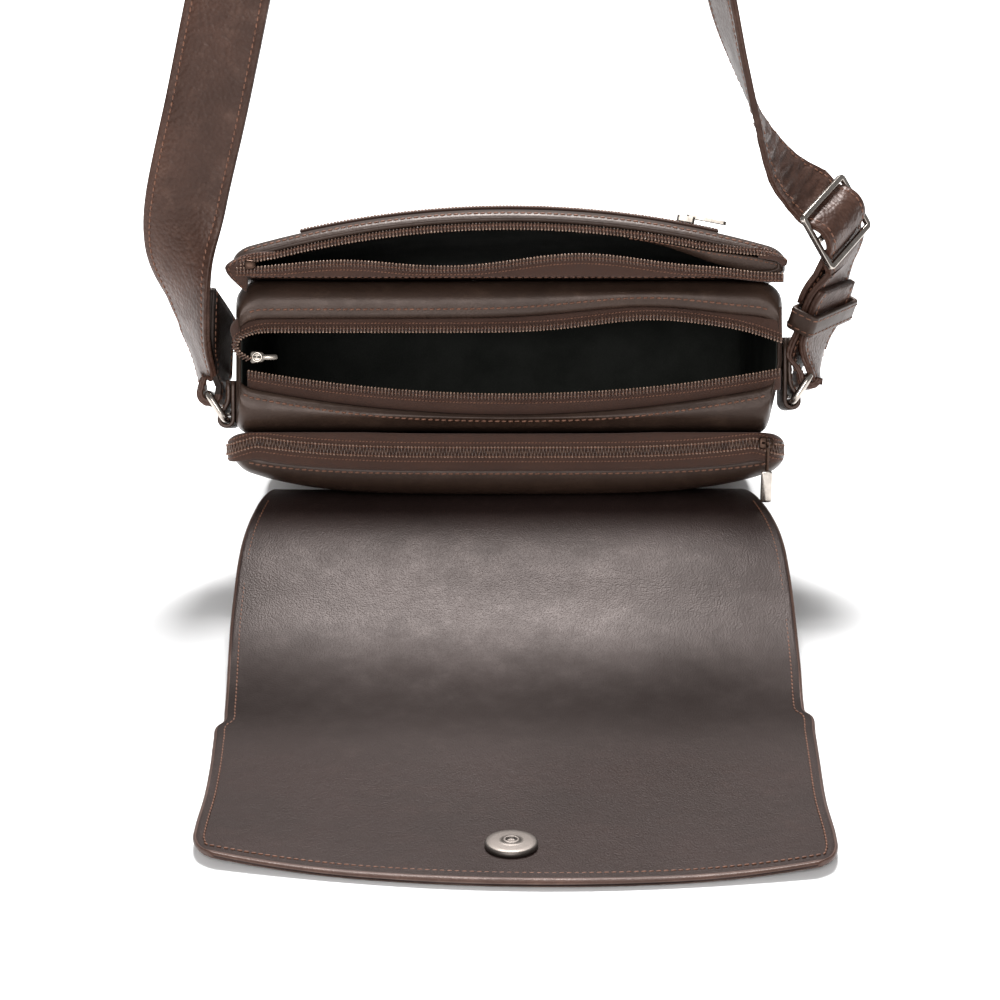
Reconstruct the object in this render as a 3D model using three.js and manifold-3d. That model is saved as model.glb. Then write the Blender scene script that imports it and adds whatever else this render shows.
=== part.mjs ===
// Leather crossbody bag lying on its back with the flap thrown open and the strap held up.
// Millimetres, +Z up. Built over the floor (z = 0), then moved so that the origin is the
// underside of the strap at the point where it hangs.
import * as THREE from 'three';
import { mergeVertices } from 'three/addons/utils/BufferGeometryUtils.js';
import Module from 'manifold-3d';

const kernel = await Module();
kernel.setup();

// Driving dimensions
const HANG_HEIGHT = 655;
const BAG_HEIGHT = 190;
const BAG_TILT = 18;
const MOUTH = { depth: 56, y: -16, z: 110 };
const WALL = 2;
const FLAP_THICK = 2.6;
const STRAP = { width: 36, thick: 3 };
const TAPE_THICK = 1;
const COIL = { half: 1.6, rise: 0.9, drop: 1.7 };
const RING = { wire: 3.2, inside: 38.6, bars: 13.2, height: 162, leftAt: 24, rightAt: 32 };
const TAB = { width: 30, thick: 1.8, fold: 3, long: 17 };
const FOLD = { radius: 4.1, leftBack: 50, rightTail: 47 };
const BUCKLE = { wide: 42.4, long: 27.6, bar: 2.5, thick: 2.4 };
const KEEPER = { along: 10, thick: 2, play: 1.5, up: 26 };
const SEWN_END = { width: 34, spread: 0.3, tuck: 12 };
const SNAP = { radius: 9.5, high: 3 };
const BAIL = { inner: 2.3, outer: 3.5, wide: 1.2, low: 1, tall: 2.5 };

const COLOUR = {
  leather: 0x2b1c16,
  pouch: 0x241712,
  lining: 0x4a382e,
  strap: 0x33221a,
  tape: 0x4b3128,
  metal: 0xb9b7b2,
};

// Small helpers
function table(columns, rows) {
  return rows.map((row) => Object.fromEntries(columns.map((name, i) => [name, row[i]])));
}

function vec(x, y, z) {
  return new THREE.Vector3(x, y, z);
}

function bump(x, centre, spread) {
  return Math.exp(-(((x - centre) / spread) ** 2));
}

function steps(from, to, count) {
  return Array.from({ length: count + 1 }, (_, i) => from + ((to - from) * i) / count);
}

function volumeOf(points, faces) {
  let sum = 0;
  for (const [a, b, c] of faces) {
    sum += points[a].dot(points[b].clone().cross(points[c]));
  }
  return sum / 6;
}

function solid(points, faces) {
  const turned = volumeOf(points, faces) < 0;
  const geometry = new THREE.BufferGeometry();
  geometry.setFromPoints(points);
  geometry.setIndex(faces.flatMap(([a, b, c]) => (turned ? [a, c, b] : [a, b, c])));
  geometry.computeVertexNormals();
  return geometry;
}

// Closed body through rings that all have the same number of points
function loft(rings, turnFrom = Infinity) {
  const count = rings[0].length;
  const points = rings.flat();
  const faces = [];
  for (let r = 0; r + 1 < rings.length; r += 1) {
    for (let i = 0; i < count; i += 1) {
      const a = r * count + i;
      const b = r * count + ((i + 1) % count);
      if (i < turnFrom) {
        faces.push([a, b, b + count], [a, b + count, a + count]);
      } else {
        faces.push([a, b, a + count], [b, b + count, a + count]);
      }
    }
  }
  const last = (rings.length - 1) * count;
  for (const [a, b, c] of capFaces(rings[0])) {
    faces.push([a, c, b]);
  }
  for (const [a, b, c] of capFaces(rings[rings.length - 1])) {
    faces.push([last + a, last + b, last + c]);
  }
  return solid(points, faces);
}

function capFaces(ring) {
  const normal = vec(0, 0, 0);
  ring.forEach((p, i) => normal.add(p.clone().cross(ring[(i + 1) % ring.length])));
  const across = ring[Math.floor(ring.length / 2)].clone().sub(ring[0]);
  across.addScaledVector(normal, -across.dot(normal) / normal.lengthSq()).normalize();
  const up = normal.clone().normalize().cross(across);
  const flat = ring.map((p) => new THREE.Vector2(p.dot(across), p.dot(up)));
  return THREE.ShapeUtils.triangulateShape(flat, []);
}

function toSolid(geometry) {
  const bare = new THREE.BufferGeometry();
  bare.setAttribute('position', geometry.getAttribute('position'));
  bare.setIndex(geometry.getIndex());
  const merged = mergeVertices(bare, 1e-4);
  const mesh = new kernel.Mesh({
    numProp: 3,
    vertProperties: new Float32Array(merged.getAttribute('position').array),
    triVerts: new Uint32Array(merged.getIndex().array),
  });
  mesh.merge();
  return new kernel.Manifold(mesh);
}

function fromSolid(body) {
  const mesh = body.getMesh();
  const geometry = new THREE.BufferGeometry();
  const places = new Float32Array(mesh.vertProperties);
  geometry.setAttribute('position', new THREE.BufferAttribute(places, 3));
  geometry.setIndex(Array.from(mesh.triVerts));
  geometry.computeVertexNormals();
  return geometry;
}

function joined(geometries) {
  return fromSolid(kernel.Manifold.union(geometries.map(toSolid)));
}

function roundRect(wide, high, radius) {
  const x = wide / 2;
  const y = high / 2;
  const shape = new THREE.Shape();
  shape.moveTo(-x + radius, -y);
  shape.lineTo(x - radius, -y);
  shape.absarc(x - radius, -y + radius, radius, -Math.PI / 2, 0);
  shape.lineTo(x, y - radius);
  shape.absarc(x - radius, y - radius, radius, 0, Math.PI / 2);
  shape.lineTo(-x + radius, y);
  shape.absarc(-x + radius, y - radius, radius, Math.PI / 2, Math.PI);
  shape.lineTo(-x, -y + radius);
  shape.absarc(-x + radius, -y + radius, radius, Math.PI, Math.PI * 1.5);
  return shape;
}

// Plate centred on its own mid plane, with chamfered rims
function plate(shape, thick, chamfer, curves = 2) {
  const geometry = new THREE.ExtrudeGeometry(shape, {
    depth: thick - 2 * chamfer,
    bevelEnabled: chamfer > 0,
    bevelThickness: chamfer,
    bevelSize: chamfer,
    bevelOffset: -chamfer,
    bevelSegments: 1,
    curveSegments: curves,
  });
  geometry.translate(0, 0, -(thick - 2 * chamfer) / 2);
  return geometry;
}

function placed(geometry, x, y, z, origin) {
  const matrix = new THREE.Matrix4().makeBasis(x, y, z).setPosition(origin);
  return geometry.applyMatrix4(matrix);
}

// Bag frame: x across, y from the back panel to the front panel, z from the base to the mouth
const tilt = THREE.MathUtils.degToRad(90 - BAG_TILT);
const bagMatrix = new THREE.Matrix4().makeRotationX(tilt);
const mouthCentre = vec(0, MOUTH.depth, BAG_HEIGHT).applyMatrix4(bagMatrix);
bagMatrix.setPosition(0, MOUTH.y - mouthCentre.y, MOUTH.z - mouthCentre.z);

const depthAxis = vec(0, 1, 0).transformDirection(bagMatrix);
const downAxis = vec(0, 0, -1).transformDirection(bagMatrix);

const object = new THREE.Group();
object.name = 'crossbody_bag';

function add(name, geometry, colour, metal = false) {
  geometry.translate(0, 0, -HANG_HEIGHT);
  const material = new THREE.MeshStandardMaterial({
    color: colour,
    metalness: metal ? 1 : 0,
    roughness: metal ? 0.3 : 0.55,
  });
  const mesh = new THREE.Mesh(geometry, material);
  mesh.name = name;
  object.add(mesh);
}

function addBag(name, geometry, colour, metal = false) {
  add(name, geometry.applyMatrix4(bagMatrix), colour, metal);
}

// Compartments: hollow leather cups. Each row is one level, from the base up and over the lip.
const LEVEL = ['height', 'half', 'near', 'far', 'bowNear', 'bowFar', 'hump'];
const HUMP = { x: 60, spread: 40 };

const MAIN_ROWS = table(LEVEL, [
  [0, 104, 30, 72, 0, 0, 0],
  [2.5, 113, 23, 79.5, 0, 0, 0],
  [9, 118, 19.2, 83.6, 0, 0, 0],
  [60, 119.5, 18.4, 84.6, 0, 0, 0],
  [130, 120, 18.3, 84.8, 0, 0, 0],
  [174, 120, 18.3, 84.8, 0, 0, 0],
  [183, 119, 19.8, 83.4, 0, 0, 0],
  [187.5, 117.8, 23, 80.5, 0.5, 0, 0],
  [190, 117, 28, 76.5, 4, 0, 2],
  [189.4, 116.5, 37.5, 69.5, 12, 0.3, 4],
]);

const FRONT_ROWS = table(LEVEL, [
  [4, 106, 87.5, 93, 0, 2, 0],
  [6.5, 114, 85.8, 95.5, 0, 4, 0],
  [14, 118.5, 85.1, 97, 0, 8, 0],
  [60, 120, 85.1, 97.5, 0, 14, 0],
  [130, 121, 85.1, 98, 0, 17.5, 0],
  [176, 121, 85.1, 98, 0, 18, 0],
  [184, 120.2, 85.4, 97, 0, 18, 0],
  [188, 119, 86.2, 95.5, 0, 17.6, 0],
  [189.6, 117.5, 87.3, 94, 0, 17, 0],
]);

const BACK_ROWS = table(LEVEL, [
  [5, 106, 8, 15.5, 0, 0, 0],
  [7.5, 114, 5.5, 17.4, 1, 0, 0],
  [15, 118.5, 4, 18, 3, 0, 0],
  [60, 120, 3.2, 18, 8, 0, 0],
  [130, 120.5, 3, 18, 11, 0, 0],
  [172, 121, 3, 18, 12, 0, 0],
  [180, 120.5, 3.2, 17.8, 11.5, 0, 0],
  [185.5, 119, 4, 17.2, 9, 0, 0],
  [187.8, 116.5, 6.2, 16, 6, 0, 0],
  [187.6, 115, 8, 14.5, 4.5, 0, 0],
]);

// Rounded rectangle in unit coordinates; the corner shares are fractions of each half side
function unitOutline(cornerX, cornerY, longSteps) {
  const outline = [];
  const corners = table(['x', 'y', 'from'], [
    [-1, -1, 180],
    [1, -1, 270],
    [1, 1, 0],
    [-1, 1, 90],
  ]);
  corners.forEach((corner, k) => {
    for (const turn of [0, 30, 60, 90]) {
      const angle = THREE.MathUtils.degToRad(corner.from + turn);
      const x = corner.x * (1 - cornerX) + cornerX * Math.cos(angle);
      const y = corner.y * (1 - cornerY) + cornerY * Math.sin(angle);
      outline.push([x, y]);
    }
    if (k % 2 === 0) {
      const start = outline[outline.length - 1];
      for (let i = 1; i < longSteps; i += 1) {
        outline.push([start[0] * (1 - (2 * i) / longSteps), start[1]]);
      }
    }
  });
  return outline;
}

function levelRing(row, outline, power) {
  return outline.map(([ux, uy]) => {
    const x = ux * row.half;
    const bow = 1 - Math.abs(ux) ** power;
    const near = row.near - row.bowNear * bow;
    const far = row.far + row.bowFar * bow + row.hump * bump(x, HUMP.x, HUMP.spread);
    return vec(x, near + ((uy + 1) / 2) * (far - near), row.height);
  });
}

// The same levels moved inwards by the wall thickness, square to the profile
function insetRows(rows, wall) {
  return rows.map((row, i) => {
    const before = rows[Math.max(i - 1, 0)];
    const after = rows[Math.min(i + 1, rows.length - 1)];
    const rise = after.height - before.height;
    const inward = (after.near - before.near + before.far - after.far + before.half - after.half) / 3;
    const length = Math.hypot(rise, inward);
    const side = (wall * rise) / length;
    const up = (-wall * inward) / length;
    return {
      ...row,
      height: row.height + up,
      half: row.half - side,
      near: row.near + side,
      far: row.far - side,
    };
  });
}

function cup(rows, outline, power = 2) {
  const outer = rows.map((row) => levelRing(row, outline, power));
  const inner = insetRows(rows, WALL).reverse().map((row) => levelRing(row, outline, power));
  return loft([...outer, ...inner]);
}

const mainOutline = unitOutline(0.1, 0.36, 12);
const pouchOutline = unitOutline(0.06, 0.7, 12);
addBag('main_body', cup(MAIN_ROWS, mainOutline), COLOUR.leather);
addBag('front_pouch', cup(FRONT_ROWS, pouchOutline), COLOUR.pouch);
addBag('back_pouch', cup(BACK_ROWS, pouchOutline, 4), COLOUR.pouch);

// Zips: a tape that ends in a coil, swept along the mouth
function mainNearCoil(x) {
  return 45 - 10.5 * (1 - (x / 115) ** 2);
}

function mainFarCoil(x) {
  return 62 + 5.5 * bump(x, 62, 36) - 7 * bump(x, 128, 18);
}

function mainNearLip(x) {
  return 37.5 - 12 * (1 - (x / 116.5) ** 2);
}

function mainFarLip(x) {
  return 69.8 + 4 * bump(x, HUMP.x, HUMP.spread);
}

function frontNearCoil(x) {
  return 88.7 + 3.5 * bump(x, -72, 30) + 6.3 * bump(x, 31, 38);
}

function frontFarCoil(x) {
  return 89.6 + 17 * (1 - (x / 118) ** 2);
}

function frontFarLip(x) {
  return 94 + 17 * (1 - (x / 117.5) ** 2);
}

function backCoil(x) {
  return 14.5 - 5 * (1 - Math.min(1, Math.abs(x / 118)) ** 4);
}

// One section of a zip half: tape edge and coil centre, as (depth, height) pairs
function halfSection(edge, edgeTop, coil, coilTop) {
  const s = Math.sign(coil - edge);
  return [
    [edge, edgeTop],
    [coil - s * COIL.half, coilTop],
    [coil - s * 1.1, coilTop + COIL.rise],
    [coil + s * 0.9, coilTop + COIL.rise],
    [coil + s * COIL.half, coilTop - 0.4],
    [coil + s * 0.9, coilTop - COIL.drop],
    [coil - s * 1.1, coilTop - COIL.drop],
    [coil - s * COIL.half, coilTop - TAPE_THICK],
    [edge, edgeTop - TAPE_THICK],
  ];
}

function zipHalf(half, edge, edgeTop, coil, coilTop) {
  const rings = steps(-half, half, 22).map((x) => {
    const section = halfSection(edge(x), edgeTop, coil(x), coilTop);
    return section.map(([y, z]) => vec(x, y, z));
  });
  return loft(rings);
}

const ZIP_HALF = { main: 113, front: 108 };
const mainNear = zipHalf(ZIP_HALF.main, (x) => mainNearLip(x) - 1, 185.6, mainNearCoil, 187.6);
const mainFar = zipHalf(ZIP_HALF.main, (x) => mainFarLip(x) + 2.5, 185.6, mainFarCoil, 187.6);
const frontNear = zipHalf(ZIP_HALF.front, () => 85.6, 191.2, frontNearCoil, 191.8);
const frontFar = zipHalf(ZIP_HALF.front, (x) => frontFarLip(x) - 2.1, 189.2, frontFarCoil, 189.6);
addBag('main_zip_near', mainNear, COLOUR.tape);
addBag('main_zip_far', mainFar, COLOUR.tape);
addBag('front_zip_near', frontNear, COLOUR.tape);
addBag('front_zip_far', frontFar, COLOUR.tape);

// Closed zip of the back pouch, turned down over both ends
const BACK_END = table(['x', 'z'], [
  [110, 189.4],
  [115.7, 189.3],
  [120, 187.8],
  [122.4, 184.2],
  [123, 178],
  [123, 168],
]);

function closedSection(near, far, coil) {
  return [
    [near, 0],
    [coil - 2.2, 0],
    [coil - 1.5, COIL.rise],
    [coil + 1.5, COIL.rise],
    [coil + 2.2, 0],
    [far, 0],
    [far, -TAPE_THICK],
    [near, -TAPE_THICK],
  ];
}

function backZip() {
  const right = BACK_END.map(({ x, z }) => vec(x, 0, z));
  const left = BACK_END.map(({ x, z }) => vec(-x, 0, z)).reverse();
  const middle = steps(-100, 100, 20).map((x) => vec(x, 0, 189.4));
  const path = [...left, ...middle, ...right];
  const rings = path.map((p, i) => {
    const before = path[Math.max(i - 1, 0)];
    const after = path[Math.min(i + 1, path.length - 1)];
    const along = after.clone().sub(before).normalize();
    const up = vec(-along.z, 0, along.x);
    const coil = backCoil(p.x);
    const section = closedSection(coil - 8.2, Math.min(coil + 8.1, 17.6), coil);
    return section.map(([y, h]) => p.clone().addScaledVector(up, h).setY(y));
  });
  return loft(rings);
}

addBag('back_zip', backZip(), COLOUR.tape);

// Closed pocket zip on the front panel, just below the mouth
const POCKET = { height: 168, half: 92, tape: 7, gap: 0.4 };

function frontPanel(x) {
  return 98 + 18 * (1 - (x / 121) ** 2);
}

function pocketZip() {
  const rings = steps(-POCKET.half, POCKET.half, 18).map((x) => {
    const y = frontPanel(x) + POCKET.gap;
    const section = closedSection(-POCKET.tape, POCKET.tape, 0);
    return section.map(([z, h]) => vec(x, y + TAPE_THICK + h, POCKET.height + z));
  });
  return loft(rings);
}

addBag('pocket_zip', pocketZip(), COLOUR.tape);

// Flap: centre line from the seam on the back panel to the front edge, over the floor
const FLAP_LINE = table(['y', 'z', 'half', 'shift', 'skew'], [
  [39.6, 21.6, 99, 0, 0],
  [11, 30.9, 102, 0, 0],
  [-8, 37, 104, 0.3, 0],
  [-24, 41.4, 105.5, 0.6, 0],
  [-45, 44.4, 108, 1.2, 0],
  [-62, 43, 114, 1.5, 0],
  [-83, 37, 116.6, 1.5, 0],
  [-110, 25, 117, 1.6, 1],
  [-140, 11.5, 116, 2, 3],
  [-160, 4.6, 115, 2, 4],
  [-172, 2.2, 114.8, 2.2, 5],
  [-177, 1.6, 117.2, 2.2, 5],
  [-190, 1.3, 116.8, 2, 3.5],
  [-215, 1.3, 115.8, 1.9, 1],
  [-255, 1.3, 114.6, 1.4, -2],
  [-290, 1.3, 114.8, 1.2, -3.6],
  [-304, 1.3, 114, 1, -4],
  [-311, 1.3, 111.5, 1, -4],
  [-315, 1.3, 106, 1, -4],
]);
const FLAP_FRONT = { bow: 17, from: -200, lift: 3 };

// Middle surface of the flap: u runs across from -1 to 1
function flapPoint(row, u) {
  const share = Math.max(0, (FLAP_FRONT.from - row.y) / (FLAP_FRONT.from + 315));
  const side = (u * row.half) / 115;
  const rim = Math.max(0, Math.abs(side) - 0.45) ** 2 * 3.3;
  const y = row.y + FLAP_FRONT.bow * share * side ** 2 + row.skew * side;
  const z = row.z + FLAP_FRONT.lift * share ** 2 * rim;
  return vec(u * row.half + row.shift, y, z);
}

function flap() {
  const across = steps(-1, 1, 14);
  const rings = FLAP_LINE.map((row, i) => {
    const before = FLAP_LINE[Math.max(i - 1, 0)];
    const after = FLAP_LINE[Math.min(i + 1, FLAP_LINE.length - 1)];
    const normal = vec(0, after.z - before.z, before.y - after.y).normalize();
    const mid = across.map((u) => flapPoint(row, u));
    const top = mid.map((p) => p.clone().addScaledVector(normal, FLAP_THICK / 2));
    const under = mid.map((p) => p.clone().addScaledVector(normal, -FLAP_THICK / 2));
    return [...top, ...under.reverse()];
  });
  return loft(rings);
}

add('flap', flap(), COLOUR.lining);

// Magnetic snap: a low disc with a raised rim round its centre
function snapDisc() {
  const profile = [
    [0, 0],
    [SNAP.radius, 0],
    [SNAP.radius, SNAP.high - 1.2],
    [SNAP.radius - 1, SNAP.high - 0.6],
    [4.2, SNAP.high - 0.6],
    [3.6, SNAP.high],
    [2.6, SNAP.high],
    [2.2, SNAP.high - 1],
    [0, SNAP.high - 1],
  ];
  return new THREE.LatheGeometry(profile.map(([r, y]) => new THREE.Vector2(r, y)), 20);
}

const flapSnap = snapDisc().rotateX(Math.PI / 2).translate(0, -288, FLAP_THICK + 0.3);
add('flap_snap', flapSnap, COLOUR.metal, true);
const snapHeight = 105;
addBag('front_snap', snapDisc().translate(0, 114.95, snapHeight), COLOUR.metal, true);

// Rings: each has an inner bar in a leather tab and an outer bar in the strap
function ringBars(side) {
  const inner = vec(side * 124.25, side < 0 ? RING.leftAt : RING.rightAt, RING.height);
  const reach = vec(side * 0.55, 0.835, 0).normalize();
  return { inner, outer: inner.clone().addScaledVector(reach, RING.bars), reach };
}

function ring(side) {
  const { inner, outer, reach } = ringBars(side);
  const wide = RING.inside + 2 * RING.wire;
  const high = RING.bars + RING.wire;
  const shape = roundRect(wide, high, 4);
  shape.holes.push(roundRect(RING.inside, high - 2 * RING.wire, 1.5));
  const along = vec(0, 0, -1);
  const middle = inner.clone().add(outer).multiplyScalar(0.5);
  return placed(plate(shape, RING.wire, 0.8), along, reach, along.clone().cross(reach), middle);
}

addBag('left_ring', ring(-1), COLOUR.metal, true);
addBag('right_ring', ring(1), COLOUR.metal, true);

// A band of leather: each sample has its middle point and the direction of its width
function band(samples, width, thick) {
  const rings = samples.map((sample, i) => {
    const before = samples[Math.max(i - 1, 0)].p;
    const after = samples[Math.min(i + 1, samples.length - 1)].p;
    const along = after.clone().sub(before).normalize();
    const w = sample.w.clone().addScaledVector(along, -sample.w.dot(along)).normalize();
    const n = along.clone().cross(w);
    const corner = (a, b) => {
      const edge = sample.p.clone().addScaledVector(w, (a * width) / 2);
      return edge.addScaledVector(n, (b * thick) / 2);
    };
    return [corner(-1, -1), corner(1, -1), corner(1, 1), corner(-1, 1)];
  });
  // Both faces of a twisted band are split along the same diagonal, so its thickness stays even
  return loft(rings, 2);
}

// Tab: a strip folded round the ring's inner bar, both ends sewn to the side of the bag
function tab(side) {
  const { inner } = ringBars(side);
  const line = [
    [-TAB.fold, TAB.long],
    [-TAB.fold, 12],
  ];
  for (const turn of steps(180, 360, 8)) {
    const angle = THREE.MathUtils.degToRad(turn);
    line.push([TAB.fold * Math.cos(angle), TAB.fold * Math.sin(angle)]);
  }
  line.push([2.7, 2.2], [0.5, 5.2], [-0.8, 8.5], [-0.8, TAB.long]);
  const samples = line.map(([out, up]) => {
    const p = inner.clone().add(vec(side * out, up, 0));
    return { p, w: vec(0, 0, -1) };
  });
  return band(samples, TAB.width, TAB.thick);
}

addBag('left_tab', tab(-1), COLOUR.leather);
addBag('right_tab', tab(1), COLOUR.leather);

// Strap: width direction from the near edge to the far edge, as a turn about Z and a dip
const STRAP_COLUMNS = ['x', 'y', 'z', 'turn', 'dip'];
const LEFT_RISE = table(STRAP_COLUMNS, [
  [-137.5, 2, 108, -18, 9],
  [-140, 0, 125, -32, 4],
  [-143.6, 0, 148, -60, 0],
  [-139.7, 0, 171, -80, 0],
  [-129, 0, 214, -82, 0],
  [-119, 0, 257, -80, 0],
  [-98, 0, 340, -62, 0],
  [-71, 0, 440, -38, 0],
  [-44, 0, 540, -14, 0],
  [-26, 0, 610, -2, 0],
  [-20.5, 0, 634, 0, 0],
  [-15.5, 0, 647, 0, 0],
  [-8.5, 0, 654, 0, 0],
]);
const RIGHT_FALL = table(STRAP_COLUMNS, [
  [8.5, 0, 654, 0, 0],
  [15.5, 0, 647, 0, 0],
  [20.5, 0, 634, 0, 0],
  [25, 0, 610, -3, 0],
  [38, 0, 540, -6, 0],
  [56, -2, 440, -10, 0],
  [73, -4, 340, -14, 2],
  [89.3, -6, 257.6, -15, 4],
  [96.7, -6, 231, -5, 7],
  [105.5, -5, 212, 5, 9],
  [117.6, -3, 185.5, 16, 9],
]);
const BUCKLE_AT = { x: 141.7, y: 0, z: 161, turn: 31, dip: -16 };
const BUCKLE_ALONG = vec(-0.51, 0.01, 0.86);
const RIGHT_LOW = table(STRAP_COLUMNS, [
  [140.5, 4, 131, 24, -3],
  [132.6, 5.5, 113, 14, 9],
]);

function widthOf({ turn, dip }) {
  const a = THREE.MathUtils.degToRad(turn);
  const b = THREE.MathUtils.degToRad(dip);
  return vec(Math.sin(a) * Math.cos(b), Math.cos(a) * Math.cos(b), -Math.sin(b));
}

function sampleOf(row) {
  return { p: vec(row.x, row.y, row.z), w: widthOf(row) };
}

// Smooth samples through knots, about one each given step
function smooth(knots, step, lastStep = step) {
  const places = new THREE.CatmullRomCurve3(knots.map((k) => k.p), false, 'centripetal');
  const widths = new THREE.CatmullRomCurve3(knots.map((k) => k.w), false, 'centripetal');
  const samples = [];
  for (let i = 0; i + 1 < knots.length; i += 1) {
    const pace = i < knots.length - 5 ? step : lastStep;
    const count = Math.max(1, Math.round(knots[i].p.distanceTo(knots[i + 1].p) / pace));
    for (let j = 0; j < count; j += 1) {
      const t = (i + j / count) / (knots.length - 1);
      samples.push({ p: places.getPoint(t), w: widths.getPoint(t).normalize() });
    }
  }
  samples.push(knots[knots.length - 1]);
  return samples;
}

function outward(samples, i, side) {
  const before = samples[Math.max(i - 1, 0)].p;
  const after = samples[Math.min(i + 1, samples.length - 1)].p;
  const along = after.clone().sub(before).normalize();
  const n = along.cross(samples[i].w).normalize();
  return n.x * side < 0 ? n.negate() : n;
}

// Copy of a run of samples, moved along its outward normal by a gap that settles to one layer
function layer(samples, side, sign, length, startGap) {
  const settled = STRAP.thick + 0.4;
  const copy = [];
  let run = 0;
  for (let i = 0; i < samples.length && run < length; i += 1) {
    const ease = THREE.MathUtils.clamp((run - 5) / 19, 0, 1);
    const smoothEase = ease * ease * (3 - 2 * ease);
    const gap = startGap + (settled - startGap) * smoothEase;
    const out = outward(samples, i, side);
    copy.push({ p: samples[i].p.clone().addScaledVector(out, sign * gap), w: samples[i].w });
    run += i + 1 < samples.length ? samples[i].p.distanceTo(samples[i + 1].p) : length;
  }
  return copy;
}

function foldRound(from, to, w) {
  const centre = from.clone().add(to).multiplyScalar(0.5);
  const arm = from.clone().sub(centre);
  const turns = steps(0, 180, 10).slice(1, -1);
  const candidates = [1, -1].map((way) => turns.map((turn) => {
    const angle = THREE.MathUtils.degToRad(way * turn);
    return { p: centre.clone().add(arm.clone().applyAxisAngle(w, angle)), w };
  }));
  const lowest = (list) => Math.min(...list.map((s) => s.p.z));
  return lowest(candidates[0]) < lowest(candidates[1]) ? candidates[0] : candidates[1];
}

const ringWidth = downAxis.clone();
const leftBar = ringBars(-1).outer.applyMatrix4(bagMatrix);
const rightBar = ringBars(1).outer.applyMatrix4(bagMatrix);

const leftStart = { p: leftBar.clone().add(vec(-FOLD.radius, 0, 0)), w: ringWidth };
const leftLow = { p: leftStart.p.clone().addScaledVector(depthAxis, 13), w: ringWidth };
const leftKnots = [leftStart, leftLow, ...LEFT_RISE.map(sampleOf)];
const leftRun = smooth(leftKnots.slice(0, 8), 7);
const leftBack = layer(leftRun, -1, -1, FOLD.leftBack, 2 * FOLD.radius).map((sample, i, all) => {
  const near = sample.p.clone().addScaledVector(sample.w, -STRAP.width / 2);
  const w = ringWidth.clone().add(vec((0.12 * i) / all.length, 0, 0)).normalize();
  return { p: near.addScaledVector(w, STRAP.width / 2), w };
});

const buckleWidth = widthOf(BUCKLE_AT);
const buckleAlong = BUCKLE_ALONG.clone();
buckleAlong.addScaledVector(buckleWidth, -BUCKLE_ALONG.dot(buckleWidth)).normalize();
const buckleOut = buckleAlong.clone().cross(buckleWidth).multiplyScalar(-1);
if (buckleOut.x < 0) {
  buckleOut.negate();
}
const buckleCentre = vec(BUCKLE_AT.x, BUCKLE_AT.y, BUCKLE_AT.z);

// The strap goes behind both end bars of the buckle and over its middle bar
const weave = STRAP.thick / 2 + BUCKLE.thick / 2 + 0.8;
const THREADING = table(['along', 'out'], [
  [18, -1.5],
  [14.8, -1.25],
  [11.8, -1],
  [8.9, -0.5],
  [6, 0.5],
  [3.1, 1],
  [0, 1.14],
  [-3.1, 1],
  [-6, 0.5],
  [-8.9, -0.5],
  [-11.8, -1],
  [-14.8, -1.15],
  [-18, -1.9],
]);
const threaded = THREADING.map(({ along, out }) => {
  const p = buckleCentre.clone().addScaledVector(buckleAlong, along);
  return { p: p.addScaledVector(buckleOut, out * weave), w: buckleWidth };
});

const rightStart = rightBar.clone().add(vec(0.4 - FOLD.radius, 0, 0));
const rightEnd = { p: rightStart, w: ringWidth };
const rightRise = rightStart.clone().addScaledVector(depthAxis, 9).add(vec(0.6, 0, 0));
const rightNext = { p: rightRise, w: ringWidth };
const lowMiddle = RIGHT_LOW.map(sampleOf).reverse();
const lowKnots = [rightEnd, rightNext, ...lowMiddle, threaded[threaded.length - 1]];
const lowRun = smooth(lowKnots, 6);
const tail = layer(lowRun, 1, 1, FOLD.rightTail, 2 * FOLD.radius);

const apex = { p: vec(0, 0, HANG_HEIGHT + STRAP.thick / 2), w: vec(0, 1, 0) };
const overKnots = [...leftKnots.slice(7), apex, ...RIGHT_FALL.map(sampleOf), threaded[0]];
const overRun = smooth(overKnots, 16, 5);

const strapSamples = [
  ...leftBack.slice().reverse(),
  ...foldRound(leftBack[0].p, leftRun[0].p, ringWidth),
  ...leftRun.slice(0, -1),
  ...overRun.slice(0, -1),
  ...threaded.slice(0, -1),
  ...lowRun.slice().reverse(),
  ...foldRound(lowRun[0].p, tail[0].p, ringWidth),
  ...tail,
];
add('strap', band(strapSamples, STRAP.width, STRAP.thick), COLOUR.strap);

// Sewn end of the strap: a short inner layer from the keeper up to the back of the buckle
function strapEnd() {
  const samples = [];
  let run = 0;
  for (let i = 0; i + 1 < lowRun.length; i += 1) {
    const past = run - KEEPER.up - KEEPER.along / 2 - 2;
    if (past > 0) {
      const inward = outward(lowRun, i, 1).multiplyScalar(-(STRAP.thick + 0.6 + SEWN_END.spread * past));
      samples.push({ p: lowRun[i].p.clone().add(inward), w: lowRun[i].w });
    }
    run += lowRun[i].p.distanceTo(lowRun[i + 1].p);
  }
  const last = samples[samples.length - 1];
  const heading = last.p.clone().sub(samples[samples.length - 2].p).normalize();
  samples.push({ p: last.p.clone().addScaledVector(heading, SEWN_END.tuck), w: last.w });
  return band(samples, SEWN_END.width, STRAP.thick - 0.4);
}

add('strap_end', strapEnd(), COLOUR.strap);

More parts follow.
